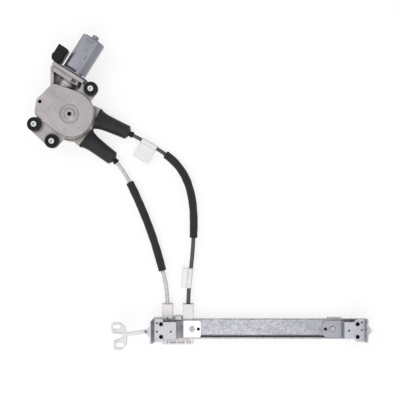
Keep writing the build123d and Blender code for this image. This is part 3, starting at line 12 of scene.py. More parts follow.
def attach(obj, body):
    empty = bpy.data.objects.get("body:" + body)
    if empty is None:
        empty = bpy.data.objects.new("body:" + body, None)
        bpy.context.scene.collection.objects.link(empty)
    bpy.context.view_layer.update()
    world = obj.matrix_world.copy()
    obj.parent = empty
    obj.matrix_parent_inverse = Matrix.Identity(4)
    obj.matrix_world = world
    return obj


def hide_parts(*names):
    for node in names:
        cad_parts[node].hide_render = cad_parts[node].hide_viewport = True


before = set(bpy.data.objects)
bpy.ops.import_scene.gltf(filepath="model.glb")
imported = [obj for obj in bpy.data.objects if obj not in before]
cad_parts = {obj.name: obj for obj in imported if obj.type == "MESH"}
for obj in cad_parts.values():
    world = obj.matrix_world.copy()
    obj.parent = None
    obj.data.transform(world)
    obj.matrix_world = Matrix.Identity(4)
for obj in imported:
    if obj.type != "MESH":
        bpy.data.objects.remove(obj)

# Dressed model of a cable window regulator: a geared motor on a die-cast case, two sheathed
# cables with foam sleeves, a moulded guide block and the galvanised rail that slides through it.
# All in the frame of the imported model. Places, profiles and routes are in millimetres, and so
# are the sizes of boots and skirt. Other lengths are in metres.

log = logging.getLogger("regulator")

Pair = tuple[float, float]
Triple = tuple[float, float, float]
Piece = bpy.types.Object
Socket = bpy.types.NodeSocket

MM = 0.001
CABLE_Z = 0.012
MOTOR_ANGLE = math.radians(57.8)
UP = Vector((0, 0, 1))

# middles of holes and fastenings
RAIL_Y = -351.7
LUGS = {"upper": (35.0, 39.9), "left": (-56.0, -17.0), "lower": (-27.6, -44.3)}
INSPECTION_HOLE = (-47.5, 19.8)
EAR_HOLE = (123.4, RAIL_Y)
PLATE_HOLES = {"left": (207.9, RAIL_Y), "right": (417.5, RAIL_Y)}
RIVETS = ((197.4, RAIL_Y), (429.1, RAIL_Y))
BOLTS = tuple((x, RAIL_Y + offset) for x in (147.2, 467.6) for offset in (10.4, -10.4))


class Body(Enum):
    """Moving bodies that the new pieces ride on."""

    DRIVE = "drive_unit"
    RAIL = "rail"


class Slot(Enum):
    """Material slots of the record that the new pieces come from."""

    BLACK_FOAM = "black_foam"
    BLACK_PLASTIC = "black_plastic"
    BLACK_RUBBER = "black_rubber"
    BRIGHT_STEEL = "bright_steel"
    DARK_CONDUIT = "dark_conduit"
    TAG_FILM = "tag_film"
    WHITE_CONDUIT = "white_conduit"
    ZINC_STEEL = "zinc_steel"


class Look(Enum):
    """Finishes that the nodes and the pieces wear."""

    CASE = auto()
    CAN = auto()
    BRIGHT = auto()
    SLEEVE = auto()
    PIN = auto()
    RAIL = auto()
    BRACKET = auto()
    FAR_BRACKET = auto()
    RIVET = auto()
    NUT = auto()
    RUBBER = auto()
    GROMMET = auto()
    SEAL = auto()
    PLUG = auto()
    CARD = auto()
    CREAM = auto()
    NATURAL = auto()
    CLIP = auto()
    GEAR = auto()
    DARK_JACKET = auto()
    WHITE_JACKET = auto()
    FOAM = auto()
    FILM = auto()
    CABLE = auto()
    WINDING = auto()
    MAGNET = auto()
    COPPER = auto()
    BRASS = auto()
    CARBON = auto()
    LAMINATION = auto()


# ---------------------------------------------------------------- finishes
# painted shade in recesses and between parts
RECESS_SHADE_COLOUR = (0.02, 0.019, 0.02)
# painted shade inside holes
HOLE_SHADE_COLOUR = (0.006, 0.006, 0.006)
# darker grey of a band along the rail's groove
GROOVE_BAND_COLOUR = (0.26, 0.26, 0.28)
# painted shade round the edge of the rivets' heads
RIVET_RIM_SHADE_COLOUR = (0.06, 0.06, 0.065)


def shade(colour: Triple, factor: float) -> Triple:
    """A colour made lighter or darker by a factor, kept under 1."""
    return tuple(min(channel * factor, 1.0) for channel in colour)


class Graph:
    """Node graph of one finish, with short calls for the nodes that it uses."""

    def __init__(self, name: str) -> None:
        """Start a material with only its shader and output.

        Args:
            name: name of the material.
        """
        self.material = bpy.data.materials.new(name)
        self.material.use_nodes = True
        self.tree = self.material.node_tree
        self.shader = self.tree.nodes["Principled BSDF"]

    def add(self, kind: str, **values: object) -> bpy.types.Node:
        """Add a node.

        Args:
            kind: type of the node.
            values: its properties, or the values of its inputs, by name.

        Returns:
            The node.
        """
        node = self.tree.nodes.new(kind)
        for key, value in values.items():
            if hasattr(node, key):
                setattr(node, key, value)
            else:
                node.inputs[key.replace("_", " ").title()].default_value = value
        return node

    def link(self, source: Socket, target: Socket) -> None:
        """Join two sockets."""
        self.tree.links.new(source, target)

    def feed(self, name: str, value: Socket | float | tuple[float, ...]) -> None:
        """Link a socket to an input of the shader, or set the input itself.

        Args:
            name: name of the shader's input.
            value: socket, or constant.
        """
        if isinstance(value, Socket):
            self.link(value, self.shader.inputs[name])
        else:
            self.shader.inputs[name].default_value = value

    def place(self, scale: Triple = (1, 1, 1), turn: float = 0.0, uv: bool = False) -> Socket:
        """Object or UV coordinates after a turn and a scale.

        Args:
            scale: stretch of the pattern along each axis.
            turn: turn of the pattern about Z, in radians.
            uv: read the piece's own UV map in place of object coordinates.

        Returns:
            The vector socket for a texture.
        """
        source = self.add("ShaderNodeTexCoord")
        turned = self.add("ShaderNodeMapping", vector_type="TEXTURE", rotation=(0, 0, turn))
        self.link(source.outputs["UV" if uv else "Object"], turned.inputs["Vector"])
        sized = self.add("ShaderNodeMapping", scale=scale)
        self.link(turned.outputs["Vector"], sized.inputs["Vector"])
        return sized.outputs["Vector"]

    def noise(self, where: Socket, scale: float, detail: float = 4.0,
              rough: float = 0.55) -> Socket:
        """Noise from 0 to 1.

        Args:
            where: coordinates.
            scale: scale of the pattern.
            detail: how many finer layers it has.
            rough: strength of the finer layers.

        Returns:
            The value's socket.
        """
        node = self.add("ShaderNodeTexNoise", scale=scale, detail=detail, roughness=rough)
        self.link(where, node.inputs["Vector"])
        return node.outputs["Fac"]

    def cells(self, where: Socket, scale: float) -> bpy.types.Node:
        """Voronoi cells.

        Args:
            where: coordinates.
            scale: scale of the pattern.

        Returns:
            The texture's node.
        """
        node = self.add("ShaderNodeTexVoronoi", scale=scale)
        self.link(where, node.inputs["Vector"])
        return node

    def wave(self, where: Socket, scale: float, direction: str, distortion: float) -> Socket:
        """Bands from 0 to 1 across one direction.

        Args:
            where: coordinates.
            scale: scale of the pattern.
            direction: the direction that the bands lie across.
            distortion: how much they waver.

        Returns:
            The value's socket.
        """
        node = self.add("ShaderNodeTexWave", wave_type="BANDS", bands_direction=direction,
                        wave_profile="SIN", scale=scale, distortion=distortion)
        self.link(where, node.inputs["Vector"])
        return node.outputs["Fac"]

    def level(self, value: Socket, low: float, high: float, start: float = 0.0,
              end: float = 1.0) -> Socket:
        """Map a value from one range to another.

        Args:
            value: value to map.
            low: result at the start.
            high: result at the end.
            start: value that gives low.
            end: value that gives high.

        Returns:
            The mapped value.
        """
        node = self.add("ShaderNodeMapRange", from_min=start, from_max=end, to_min=low,
                        to_max=high)
        self.link(value, node.inputs["Value"])
        return node.outputs["Result"]

    def blend(self, value: Socket, first: Socket | Triple, second: Socket | Triple) -> Socket:
        """Mix two colours.

        Args:
            value: share of the second colour.
            first: socket or linear colour at 0.
            second: socket or linear colour at 1.

        Returns:
            The mixed colour.
        """
        node = self.add("ShaderNodeMix", data_type="RGBA")
        self.link(value, node.inputs[0])
        for index, colour in ((6, first), (7, second)):
            if isinstance(colour, Socket):
                self.link(colour, node.inputs[index])
            else:
                node.inputs[index].default_value = (*colour, 1.0)
        return node.outputs[2]

    def toned(self, value: Socket, colour: Triple, dark: float, light: float, start: float,
              end: float) -> Socket:
        """A colour from its dark shade, where a value is at start, to its light one at end."""
        return self.blend(self.level(value, 0, 1, start, end), shade(colour, dark),
                          shade(colour, light))

    def sum(self, first: Socket, second: Socket, share: float = 1.0) -> Socket:
        """Add a share of one value to another.

        Args:
            first: value that is taken whole.
            second: value that is taken in part.
            share: how much of it is taken.

        Returns:
            The sum.
        """
        node = self.add("ShaderNodeMath", operation="MULTIPLY_ADD")
        self.link(second, node.inputs[0])
        node.inputs[1].default_value = share
        self.link(first, node.inputs[2])
        return node.outputs[0]

    def times(self, first: Socket, second: Socket) -> Socket:
        """Multiply two values.

        Args:
            first: one value.
            second: the other.

        Returns:
            The product.
        """
        node = self.add("ShaderNodeMath", operation="MULTIPLY")
        self.link(first, node.inputs[0])
        self.link(second, node.inputs[1])
        return node.outputs[0]

    def along(self, axis: int, start: float, end: float) -> Socket:
        """Ramp from 0 to 1 between two places.

        Args:
            axis: axis of the object's coordinates, from 0.
            start: where the ramp is 0, in metres.
            end: where it is 1.

        Returns:
            The ramp's socket.
        """
        split = self.add("ShaderNodeSeparateXYZ")
        self.link(self.add("ShaderNodeTexCoord").outputs["Object"], split.inputs[0])
        return self.level(split.outputs[axis], 0.0, 1.0, start, end)

    def inside(self, circles: tuple[Triple, ...]) -> Socket:
        """Mask that is 1 inside any of some upright holes and 0 outside them.

        Args:
            circles: x, y and radius of each hole, in millimetres.

        Returns:
            The mask's socket.
        """
        soft = 0.15
        flat = self.place((1.0, 1.0, 0.0))
        mask = None
        for x, y, radius in circles:
            away = self.add("ShaderNodeVectorMath", operation="DISTANCE")
            self.link(flat, away.inputs[0])
            away.inputs[1].default_value = (x * MM, y * MM, 0.0)
            near = self.level(away.outputs["Value"], 1.0, 0.0, (radius - soft) * MM,
                              (radius + soft) * MM)
            mask = near if mask is None else self.sum(mask, near)
        return mask

    def bevelled(self, radius: float, samples: int) -> Socket:
        """Normal of the surface with its edges rounded by a radius."""
        bevel = self.add("ShaderNodeBevel", samples=samples, radius=radius)
        return bevel.outputs["Normal"]

    def edge_mask(self, radius: float) -> Socket:
        """Mask that is 1 along outer and inner edges and 0 on open faces.

        Args:
            radius: how far the wear reaches from an edge.

        Returns:
            The mask's socket.
        """
        turn = self.add("ShaderNodeVectorMath", operation="DOT_PRODUCT")
        self.link(self.bevelled(radius, 6), turn.inputs[0])
        self.link(self.add("ShaderNodeNewGeometry").outputs["Normal"], turn.inputs[1])
        return self.level(turn.outputs["Value"], 1.0, 0.0, 0.88, 0.995)

    def with_painted_shade(self, colour: Socket, depth: float, reach: float,
               holes: tuple[Triple, ...] = (), alone: bool = True) -> Socket:
        """Paint shade into a colour in its own recesses, and a darker shade inside its holes.

        Args:
            colour: colour of the clean surface.
            depth: share of the colour that the painted shade takes away in a deep recess.
            reach: distance over which a wall shades the surface beside it.
            holes: x, y and radius of holes that get painted shade inside, in millimetres.
            alone: leave out what other parts shade.

        Returns:
            The colour with painted shade.
        """
        # painted shade: darker where ambient occlusion finds walls near by, those of other parts
        # too unless alone
        recess = self.add("ShaderNodeAmbientOcclusion", samples=6, only_local=alone,
                          distance=reach)
        recess_shade = self.level(recess.outputs["AO"], depth, 0.0, 0.25, 0.95)
        colour = self.blend(recess_shade, colour, RECESS_SHADE_COLOUR)
        # painted shade inside the holes
        if holes:
            colour = self.blend(self.inside(holes), colour, HOLE_SHADE_COLOUR)
        return colour

    def relief(self, height: Socket, depth: float, edge: float, strength: float) -> None:
        """Give the shader a bump over rounded edges.

        Args:
            height: height of the pattern, from 0 to 1.
            depth: its depth.
            edge: radius of the edges, or 0.
            strength: strength of the bump.
        """
        bump = self.add("ShaderNodeBump", strength=strength, distance=depth)
        self.link(height, bump.inputs["Height"])
        if edge:
            self.link(self.bevelled(edge, 4), bump.inputs["Normal"])
        self.feed("Normal", bump.outputs["Normal"])

    def translucent(self, weight: float, radius: Triple) -> None:
        """Let light into the surface."""
        self.feed("Subsurface Weight", weight)
        self.feed("Subsurface Radius", radius)


@dataclass(frozen=True)
class Finish:
    """What all finishes share: name, base colour, gloss, edge radius and depth of the grain."""

    name: str
    colour: Triple
    roughness: float = 0.5
    edge: float = 0.0003
    specular: float = 0.5
    depth: float = 0.0001

    def material(self) -> bpy.types.Material:
        """Build the material.

        Returns:
            The material, ready to be worn.
        """
        graph = Graph(self.name)
        graph.feed("Roughness", self.roughness)
        graph.feed("Specular IOR Level", self.specular)
        self.paint(graph)
        return graph.material

    def paint(self, graph: Graph) -> None:
        """Add the pattern of this kind of finish."""
        raise NotImplementedError

    def vary_gloss(self, graph: Graph, value: Socket, first: float, last: float,
                   start: float, end: float) -> None:
        """Add first to the roughness where a value is at start, and last where it is at end."""
        graph.feed("Roughness", graph.level(value, self.roughness + first,
                                            self.roughness + last, start, end))


@dataclass(frozen=True)
class CastMetal(Finish):
    """Die-cast light metal: fine grain, soft flow marks and dull patches."""

    depth: float = 0.00012
    recess_shade: float = 0.65
    reach: float = 0.006
    grain: float = 1500.0
    patch: float = 38.0
    metallic: float = 0.72
    holes: tuple[Triple, ...] = ()

    def paint(self, graph: Graph) -> None:
        """Add flow marks, patches and painted shade in recesses and holes.

        Args:
            graph: graph of the finish.
        """
        where = graph.place()
        fine = graph.noise(where, self.grain, 5.0)
        flow = graph.noise(graph.place((1.0, 0.35, 1.0), 0.7), self.patch, 5.0, 0.6)
        mottle = graph.noise(where, self.patch * 4, 3.0)
        tone = graph.sum(flow, mottle, 0.35)
        colour = graph.toned(tone, self.colour, 0.82, 1.14, 0.45, 0.95)
        graph.feed("Base Color", graph.with_painted_shade(colour, self.recess_shade, self.reach, self.holes,
                                              alone=False))
        self.vary_gloss(graph, tone, 0.10, -0.08, 0.4, 1.0)
        graph.feed("Metallic", self.metallic)
        graph.relief(graph.sum(fine, mottle, 0.6), self.depth, self.edge, 0.7)


@dataclass(frozen=True)
class SheetMetal(Finish):
    """Plated or galvanised sheet: drawn grain along one way, spangle and fine scratches.

    A zone is where another tone begins and ends along X, and its factor: a painted reflection on
    the left bracket's inner plate, painted shade on the right one's, a darker right end on the
    rail.
    A darker band lies in a groove along X, given by its middle and half width in Y.
    """

    depth: float = 0.00006
    recess_shade: float = 0.55
    reach: float = 0.004
    grain: float = 1400.0
    cloud: float = 55.0
    band_patch: float = 320.0
    turn: float = 0.0
    spangle: float = 0.0
    spangle_size: float = 160.0
    drawn: float = 0.5
    metallic: float = 0.9
    contrast: float = 0.15
    groove_band: Pair | None = None
    zone: Triple | None = None
    holes: tuple[Triple, ...] = ()
    rims: tuple[Triple, ...] = ()

    def darken_groove(self, graph: Graph, colour: Socket) -> Socket:
        """Darken the groove with a patchy band.

        Args:
            graph: graph of the finish.
            colour: colour of the clean sheet.

        Returns:
            The colour with the band.
        """
        middle, half = self.groove_band
        outer, inner = half + 0.0008, half - 0.0004
        band_patch = graph.noise(graph.place((0.25, 1.0, 1.0)), self.band_patch)
        low = graph.along(1, middle - outer, middle - inner)
        high = graph.along(1, middle + outer, middle + inner)
        film = graph.times(graph.times(low, high), graph.level(band_patch, 0.55, 1.0, 0.3, 0.6))
        return graph.blend(film, colour, GROOVE_BAND_COLOUR)

    def paint(self, graph: Graph) -> None:
        """Add grain, spangle, zone, groove band and painted shade by rivets, in recesses and
        holes.

        Args:
            graph: graph of the finish.
        """
        grain = graph.noise(graph.place((0.05, 1.0, 1.0), self.turn), self.grain, 3.0)
        cloud = graph.noise(graph.place((0.4, 1.0, 1.0), self.turn), self.cloud, 5.0, 0.6)
        cell = graph.cells(graph.place((0.8, 1.0, 1.0), self.turn), self.spangle_size)
        flake = graph.add("ShaderNodeSeparateColor")
        graph.link(cell.outputs["Color"], flake.inputs[0])
        tone = graph.sum(graph.level(cloud, 0.1, 0.9, 0.3, 0.7), flake.outputs[0], self.spangle)
        tone = graph.sum(tone, grain, 0.25 * self.drawn)
        top = 1.0 + self.spangle + 0.2 * self.drawn
        colour = graph.toned(tone, self.colour, 1 - 1.2 * self.contrast, 1 + self.contrast,
                             0.1, top)
        # zone: painted reflection on the left bracket's inner plate, painted shade on the right
        # one's inner plate and bend, a darker right end on the rail
        if self.zone is not None:
            start, end, factor = self.zone
            other = graph.toned(tone, self.colour, factor * (1 - self.contrast),
                                factor * (1 + self.contrast), 0.1, top)
            colour = graph.blend(graph.along(0, start, end), colour, other)
        if self.groove_band is not None:
            colour = self.darken_groove(graph, colour)
        # painted shade outside the rims, round the edge of each rivet's head
        if self.rims:
            colour = graph.blend(graph.level(graph.inside(self.rims), 1.0, 0.0),
                                 colour, RIVET_RIM_SHADE_COLOUR)
        graph.feed("Base Color", graph.with_painted_shade(colour, self.recess_shade, self.reach, self.holes))
        self.vary_gloss(graph, tone, -0.07, 0.12, 0.1, top)
        graph.feed("Metallic", self.metallic)
        graph.relief(graph.sum(graph.level(cloud, 0, 1), grain, 0.35), self.depth, self.edge,
                     0.6)


@dataclass(frozen=True)
class Moulding(Finish):
    """Moulded plastic: fine spark-eroded grain, faint flow lines and rubbed patches."""

    depth: float = 0.00005
    recess_shade: float = 0.25
    reach: float = 0.005
    grain: float = 2200.0
    flow: float = 45.0
    tone: float = 0.10
    glow: float = 0.0
    alone: bool = True
    holes: tuple[Triple, ...] = ()

    def paint(self, graph: Graph) -> None:
        """Add flow lines and painted shade in recesses and holes.

        Args:
            graph: graph of the finish.
        """
        fine = graph.noise(graph.place(), self.grain, 3.0)
        wide = graph.noise(graph.place((1.0, 0.4, 1.0), 0.4), self.flow, 4.0, 0.6)
        colour = graph.toned(wide, self.colour, 1 - self.tone, 1 + self.tone, 0.3, 0.7)
        graph.feed("Base Color", graph.with_painted_shade(colour, self.recess_shade, self.reach, self.holes,
                                              self.alone))
        self.vary_gloss(graph, wide, -0.06, 0.08, 0.3, 0.7)
        if self.glow:
            graph.translucent(self.glow, (0.004, 0.003, 0.002))
        graph.relief(graph.sum(fine, wide, 0.5), self.depth, self.edge, 0.7)


@dataclass(frozen=True)
class Rubber(Finish):
    """Moulded black rubber: bloom in soft patches over a fine matte grain."""

    recess_shade: float = 0.8
    reach: float = 0.002
    grain: float = 1300.0
    patch: float = 70.0
    bloom: float = 1.8
    edge_highlight: float = 4.0
    edge_highlight_reach: float = 0.0009

    def paint(self, graph: Graph) -> None:
        """Add bloom, a painted highlight along the edges and painted shade in recesses.

        Args:
            graph: graph of the finish.
        """
        where = graph.place()
        fine = graph.noise(where, self.grain, 4.0)
        patch = graph.noise(where, self.patch, 5.0, 0.65)
        colour = graph.toned(patch, self.colour, 1.0, self.bloom, 0.42, 0.72)
        # painted highlight along the edges of ribs and lips
        colour = graph.blend(graph.edge_mask(self.edge_highlight_reach), colour, shade(self.colour, self.edge_highlight))
        graph.feed("Base Color", graph.with_painted_shade(colour, self.recess_shade, self.reach))
        self.vary_gloss(graph, patch, 0.0, 0.16, 0.35, 0.7)
        graph.feed("Sheen Weight", 0.12)
        graph.relief(graph.sum(fine, patch, 0.5), self.depth, self.edge, 0.8)


@dataclass(frozen=True)
class Foam(Finish):
    """Open foam tube: pores of two sizes and a lightly crushed skin."""

    depth: float = 0.00045
    pore: float = 900.0
    patch: float = 90.0

    def paint(self, graph: Graph) -> None:
        """Add the pores and the crushed patches.

        Args:
            graph: graph of the finish.
        """
        where = graph.place()
        small = graph.cells(where, self.pore).outputs["Distance"]
        large = graph.cells(where, self.pore * 0.45).outputs["Distance"]
        pores = graph.sum(graph.level(small, 0, 1, 0.0, 0.7), large, 0.5)
        patch = graph.noise(where, self.patch)
        skin = graph.sum(pores, patch, 0.6)
        graph.feed("Base Color", graph.toned(skin, self.colour, 0.45, 1.7, 0.3, 1.3))
        graph.feed("Sheen Weight", 0.25)
        graph.relief(graph.sum(pores, patch, 0.8), self.depth, 0.0, 0.9)


@dataclass(frozen=True)
class Jacket(Finish):
    """Drawn plastic jacket of a conduit: faint rings from the liner and rubbed streaks."""

    depth: float = 0.00006
    ring: float = 480.0
    streak: float = 260.0
    glow: float = 0.0

    def paint(self, graph: Graph) -> None:
        """Add the rings and the streaks.

        Args:
            graph: graph of the finish.
        """
        rings = graph.wave(graph.place(uv=True), self.ring, "Y", 0.4)
        streak = graph.noise(graph.place(), self.streak)
        graph.feed("Base Color", graph.toned(streak, self.colour, 0.86, 1.14, 0.35, 0.7))
        self.vary_gloss(graph, streak, -0.08, 0.1, 0.3, 0.7)
        if self.glow:
            graph.translucent(self.glow, (0.003, 0.003, 0.0025))
        graph.relief(graph.sum(rings, streak, 1.2), self.depth, 0.0, 0.5)


@dataclass(frozen=True)
class Wound(Finish):
    """Stranded cable or wound wire: a twisted lay across the surface."""

    depth: float = 0.0002
    lay: float = 700.0
    metallic: float = 0.85

    def paint(self, graph: Graph) -> None:
        """Add the twisted lay.

        Args:
            graph: graph of the finish.
        """
        strands = graph.wave(graph.place(), self.lay, "DIAGONAL", 1.2)
        graph.feed("Base Color", graph.toned(strands, self.colour, 0.45, 1.0, 0.0, 1.0))
        graph.feed("Metallic", self.metallic)
        graph.relief(strands, self.depth, 0.0, 0.8)


# the holes in these finishes are painted near black inside as shade
FINISHES: dict[Look, Finish] = {
    Look.CASE: CastMetal("die_cast_case", (0.50, 0.465, 0.480), 0.46, 0.0005,
                         holes=((*INSPECTION_HOLE, 2.85),)),
    Look.CAN: SheetMetal("motor_can_plate", (0.350, 0.355, 0.405), 0.40, 0.0005,
                         turn=MOTOR_ANGLE, drawn=0.9, metallic=0.85, contrast=0.22),
    Look.BRIGHT: SheetMetal("bright_turned_steel", (0.66, 0.66, 0.67), 0.22, 0.0002, drawn=0.3),
    Look.SLEEVE: SheetMetal("zinc_sleeve", (0.86, 0.86, 0.87), 0.34, 0.0002, drawn=0.3,
                            metallic=0.5),
    # the pin is near black as painted shade in the boss hole
    Look.PIN: SheetMetal("pin_dark_as_hole_shade", (0.020, 0.019, 0.020), 0.55, 0.0002, drawn=0.3,
                         metallic=0.2, specular=0.2),
    Look.RAIL: SheetMetal("galvanised_rail", (0.44, 0.44, 0.485), 0.36, 0.0004, spangle=1.5,
                          spangle_size=430.0, drawn=0.5, metallic=0.8, contrast=0.42,
                          # a darker, patchy band along the groove, and a rail that darkens
                          # towards its right end
                          groove_band=(-0.3640, 0.0024), zone=(0.34, 0.42, 0.82),
                          holes=tuple((*hole, 2.6) for hole in PLATE_HOLES.values())),
    # lighter zone: a painted reflection on the inner plate
    Look.BRACKET: SheetMetal("zinc_bracket", (0.465, 0.46, 0.49), 0.34, 0.0004, spangle=0.35,
                             spangle_size=420.0, drawn=0.4, metallic=0.75,
                             zone=(0.1825, 0.1840, 1.85),
                             holes=((140.4, -353.6, 1.7), (140.4, -339.6, 1.7),
                                    (163.2, -353.5, 1.7))),
    # darker zone: painted shade on the inner plate and its bend
    Look.FAR_BRACKET: SheetMetal("far_zinc_bracket", (0.54, 0.54, 0.60), 0.36, 0.0004,
                                 spangle=0.5, spangle_size=260.0, drawn=0.5, metallic=0.75,
                                 contrast=0.2, zone=(0.4465, 0.4440, 0.68),
                                 holes=((474.4, -351.0, 1.7), (474.4, -338.3, 1.7),
                                        (453.7, -351.8, 1.7))),
    # the rivets get painted shade round their heads, and inside the first one's hole
    Look.RIVET: SheetMetal("rivet_steel", (0.50, 0.50, 0.52), 0.30, 0.0004, drawn=0.6,
                           contrast=0.4, rims=tuple((*rivet, 3.6) for rivet in RIVETS),
                           holes=((*RIVETS[0], 1.0),)),
    # near black for nuts and cups in holes, standing in for the shade inside them
    Look.NUT: SheetMetal("hole_shade_black", (0.012, 0.012, 0.012), 0.5, 0.0002, drawn=0.2,
                         metallic=0.3, specular=0.2),
    Look.RUBBER: Rubber("moulded_rubber", (0.0185, 0.018, 0.0200), 0.42, 0.0005, specular=0.35),
    Look.GROMMET: Rubber("grommet_rubber", (0.0075, 0.007, 0.009), 0.46, 0.0004, specular=0.28),
    Look.SEAL: Rubber("seal_rubber", (0.006, 0.006, 0.006), 0.6, 0.0002, specular=0.15),
    Look.PLUG: Moulding("connector_plastic", (0.0085, 0.0085, 0.009), 0.42, 0.0004, specular=0.25,
                        tone=0.35, recess_shade=0.6, alone=False),
    Look.CARD: Moulding("brush_card_plastic", (0.060, 0.047, 0.074), 0.35, 0.0003, tone=0.12),
    Look.CREAM: Moulding("drum_housing_plastic", (0.56, 0.535, 0.47), 0.48, 0.0005, glow=0.06,
                         recess_shade=0.85, alone=False),
    Look.NATURAL: Moulding("natural_plastic", (0.90, 0.865, 0.88), 0.42, 0.0005, tone=0.05,
                           glow=0.10, holes=((157.6, -333.9, 1.2),)),
    Look.CLIP: Moulding("clip_plastic", (0.85, 0.83, 0.84), 0.45, 0.0006, tone=0.05, glow=0.10,
                        holes=((*EAR_HOLE, 1.6),)),
    Look.GEAR: Moulding("gear_plastic", (0.72, 0.69, 0.60), 0.40, 0.0002, tone=0.05, glow=0.08),
    Look.DARK_JACKET: Jacket("dark_conduit_jacket", (0.105, 0.095, 0.098), 0.44, specular=0.4),
    Look.WHITE_JACKET: Jacket("white_conduit_jacket", (0.72, 0.715, 0.68), 0.36, glow=0.25),
    Look.FOAM: Foam("foam_tube", (0.021, 0.021, 0.023), 0.92, specular=0.25),
    Look.FILM: Moulding("blank_tag_film", (0.96, 0.94, 0.98), 0.30, 0.0, grain=900.0,
                        depth=0.00004, tone=0.04),
    Look.CABLE: Wound("stranded_cable", (0.30, 0.30, 0.30), 0.38),
    Look.WINDING: Wound("enamelled_winding", (0.45, 0.16, 0.05), 0.30, lay=1600.0, metallic=0.6),
    Look.MAGNET: CastMetal("ferrite_magnet", (0.035, 0.035, 0.04), 0.6, metallic=0.1),
    Look.COPPER: SheetMetal("commutator_copper", (0.50, 0.22, 0.11), 0.32),
    Look.BRASS: SheetMetal("terminal_brass", (0.56, 0.42, 0.17), 0.28),
    Look.CARBON: CastMetal("brush_carbon", (0.02, 0.02, 0.02), 0.55, metallic=0.0),
    Look.LAMINATION: SheetMetal("stamped_lamination", (0.22, 0.22, 0.24), 0.45, drawn=1.0),
}

DRESS: dict[Look, tuple[str, ...]] = {
    Look.CASE: ("gear_housing",),
    Look.CAN: ("motor_can",),
    Look.BRIGHT: ("housing_screws", "motor_screws", "cable_nipples", "motor_shaft",
                  "tension_spring_upper", "tension_spring_lower"),
    Look.RIVET: ("rail_rivets",),
    Look.SLEEVE: ("sleeve_upper", "sleeve_left", "sleeve_lower"),
    Look.PIN: ("axle_pin",),
    Look.RAIL: ("rail",),
    Look.BRACKET: ("left_bracket",),
    Look.FAR_BRACKET: ("right_bracket",),
    Look.GROMMET: ("grommet_upper", "grommet_left", "grommet_lower"),
    Look.RUBBER: ("boot_upper", "boot_lower", "damper_ring"),
    Look.SEAL: ("housing_seal", "motor_gasket"),
    Look.PLUG: ("connector_housing", "ferrule_upper", "ferrule_lower"),
    Look.CARD: ("brush_card",),
    Look.CREAM: ("drum_housing", "drum_cover"),
    Look.NATURAL: ("guide_block", "left_end_anchor", "right_end_anchor"),
    Look.CLIP: ("harness_clip",),
    Look.GEAR: ("worm_wheel", "cable_drum", "drive_carrier", "gear_cover", "thrust_pad"),
    Look.DARK_JACKET: ("conduit_upper",),
    Look.WHITE_JACKET: ("conduit_lower",),
    Look.FOAM: ("foam_sleeve_upper", "foam_sleeve_lower"),
    Look.FILM: ("tag_upper", "tag_lower"),
    Look.CABLE: ("rail_cable", "block_cables", "outlet_cable_upper", "outlet_cable_lower",
                 "drum_windings"),
    Look.WINDING: ("armature_windings",),
    Look.MAGNET: ("magnets",),
    Look.COPPER: ("commutator",),
    Look.BRASS: ("connector_terminals", "rear_bearing", "front_bearing"),
    Look.CARBON: ("brushes",),
    Look.LAMINATION: ("lamination_stack",),
}


class Paintshop:
    """Makes each finish once and puts it on nodes and pieces."""

    def __init__(self) -> None:
        """Start with nothing made."""
        self.made: dict[Look, bpy.types.Material] = {}

    def get(self, look: Look) -> bpy.types.Material:
        """Find a finish's material, or make it the first time that it is asked for.

        Args:
            look: the finish.

        Returns:
            The material.
        """
        if look not in self.made:
            self.made[look] = FINISHES[look].material()
        return self.made[look]

    def dress_nodes(self) -> None:
        """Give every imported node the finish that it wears."""
        for look, nodes in DRESS.items():
            for node in nodes:
                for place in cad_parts[node].material_slots:
                    place.material = self.get(look)

    def dress(self, piece: Piece, look: Look) -> None:
        """Give a new piece its finish.

        Args:
            piece: the piece.
            look: the finish.
        """
        piece.data.materials.clear()
        piece.data.materials.append(self.get(look))


PAINT = Paintshop()


# ---------------------------------------------------------------- turned and moulded parts
def pick_faces(piece: Piece, wanted: Callable[[bmesh.types.BMFace], bool]) -> None:
    """Leave only the faces that pass a test selected, in edit mode.

    Args:
        piece: the piece in edit mode.
        wanted: the test.
    """
    bpy.ops.mesh.select_mode(type="FACE")
    bpy.ops.mesh.select_all(action="DESELECT")
    mesh = bmesh.from_edit_mesh(piece.data)
    for face in mesh.faces:
        face.select_set(wanted(face))
    bmesh.update_edit_mesh(piece.data)


def heading(angle: float) -> Vector:
    """Unit vector in plan at an angle in degrees from +X."""
    return Vector((math.cos(math.radians(angle)), math.sin(math.radians(angle)), 0))


def across(x: float, y: float, angle: float) -> Matrix:
    """Stand a shell on an outlet, with its Z along the outlet and its Y up.

    Args:
        x: place of the outlet, in millimetres.
        y: the same across.
        angle: heading of the outlet, in degrees.

    Returns:
        The matrix that places the shell.
    """
    out = heading(angle)
    side = Vector((-out.y, out.x, 0))
    turn = Matrix((side, UP, out)).transposed().to_4x4()
    return Matrix.Translation((x * MM, y * MM, CABLE_Z)) @ turn


def start_circle(name: str, points: int, radius: float) -> Piece:
    """Add a flat circle at the origin and open it in edit mode.

    Args:
        name: name of the piece.
        points: points round the circle.
        radius: its radius.

    Returns:
        The piece.
    """
    bpy.ops.object.select_all(action="DESELECT")
    bpy.ops.mesh.primitive_circle_add(vertices=points, radius=radius, location=(0, 0, 0))
    piece = bpy.context.object
    piece.name = name
    bpy.ops.object.mode_set(mode="EDIT")
    bpy.ops.mesh.select_mode(type="VERT")
    return piece


def close_shell() -> None:
    """Merge doubles, turn all faces outwards and leave edit mode."""
    bpy.ops.mesh.select_all(action="SELECT")
    bpy.ops.mesh.remove_doubles(threshold=1e-6)
    bpy.ops.mesh.normals_make_consistent(inside=False)
    bpy.ops.object.mode_set(mode="OBJECT")


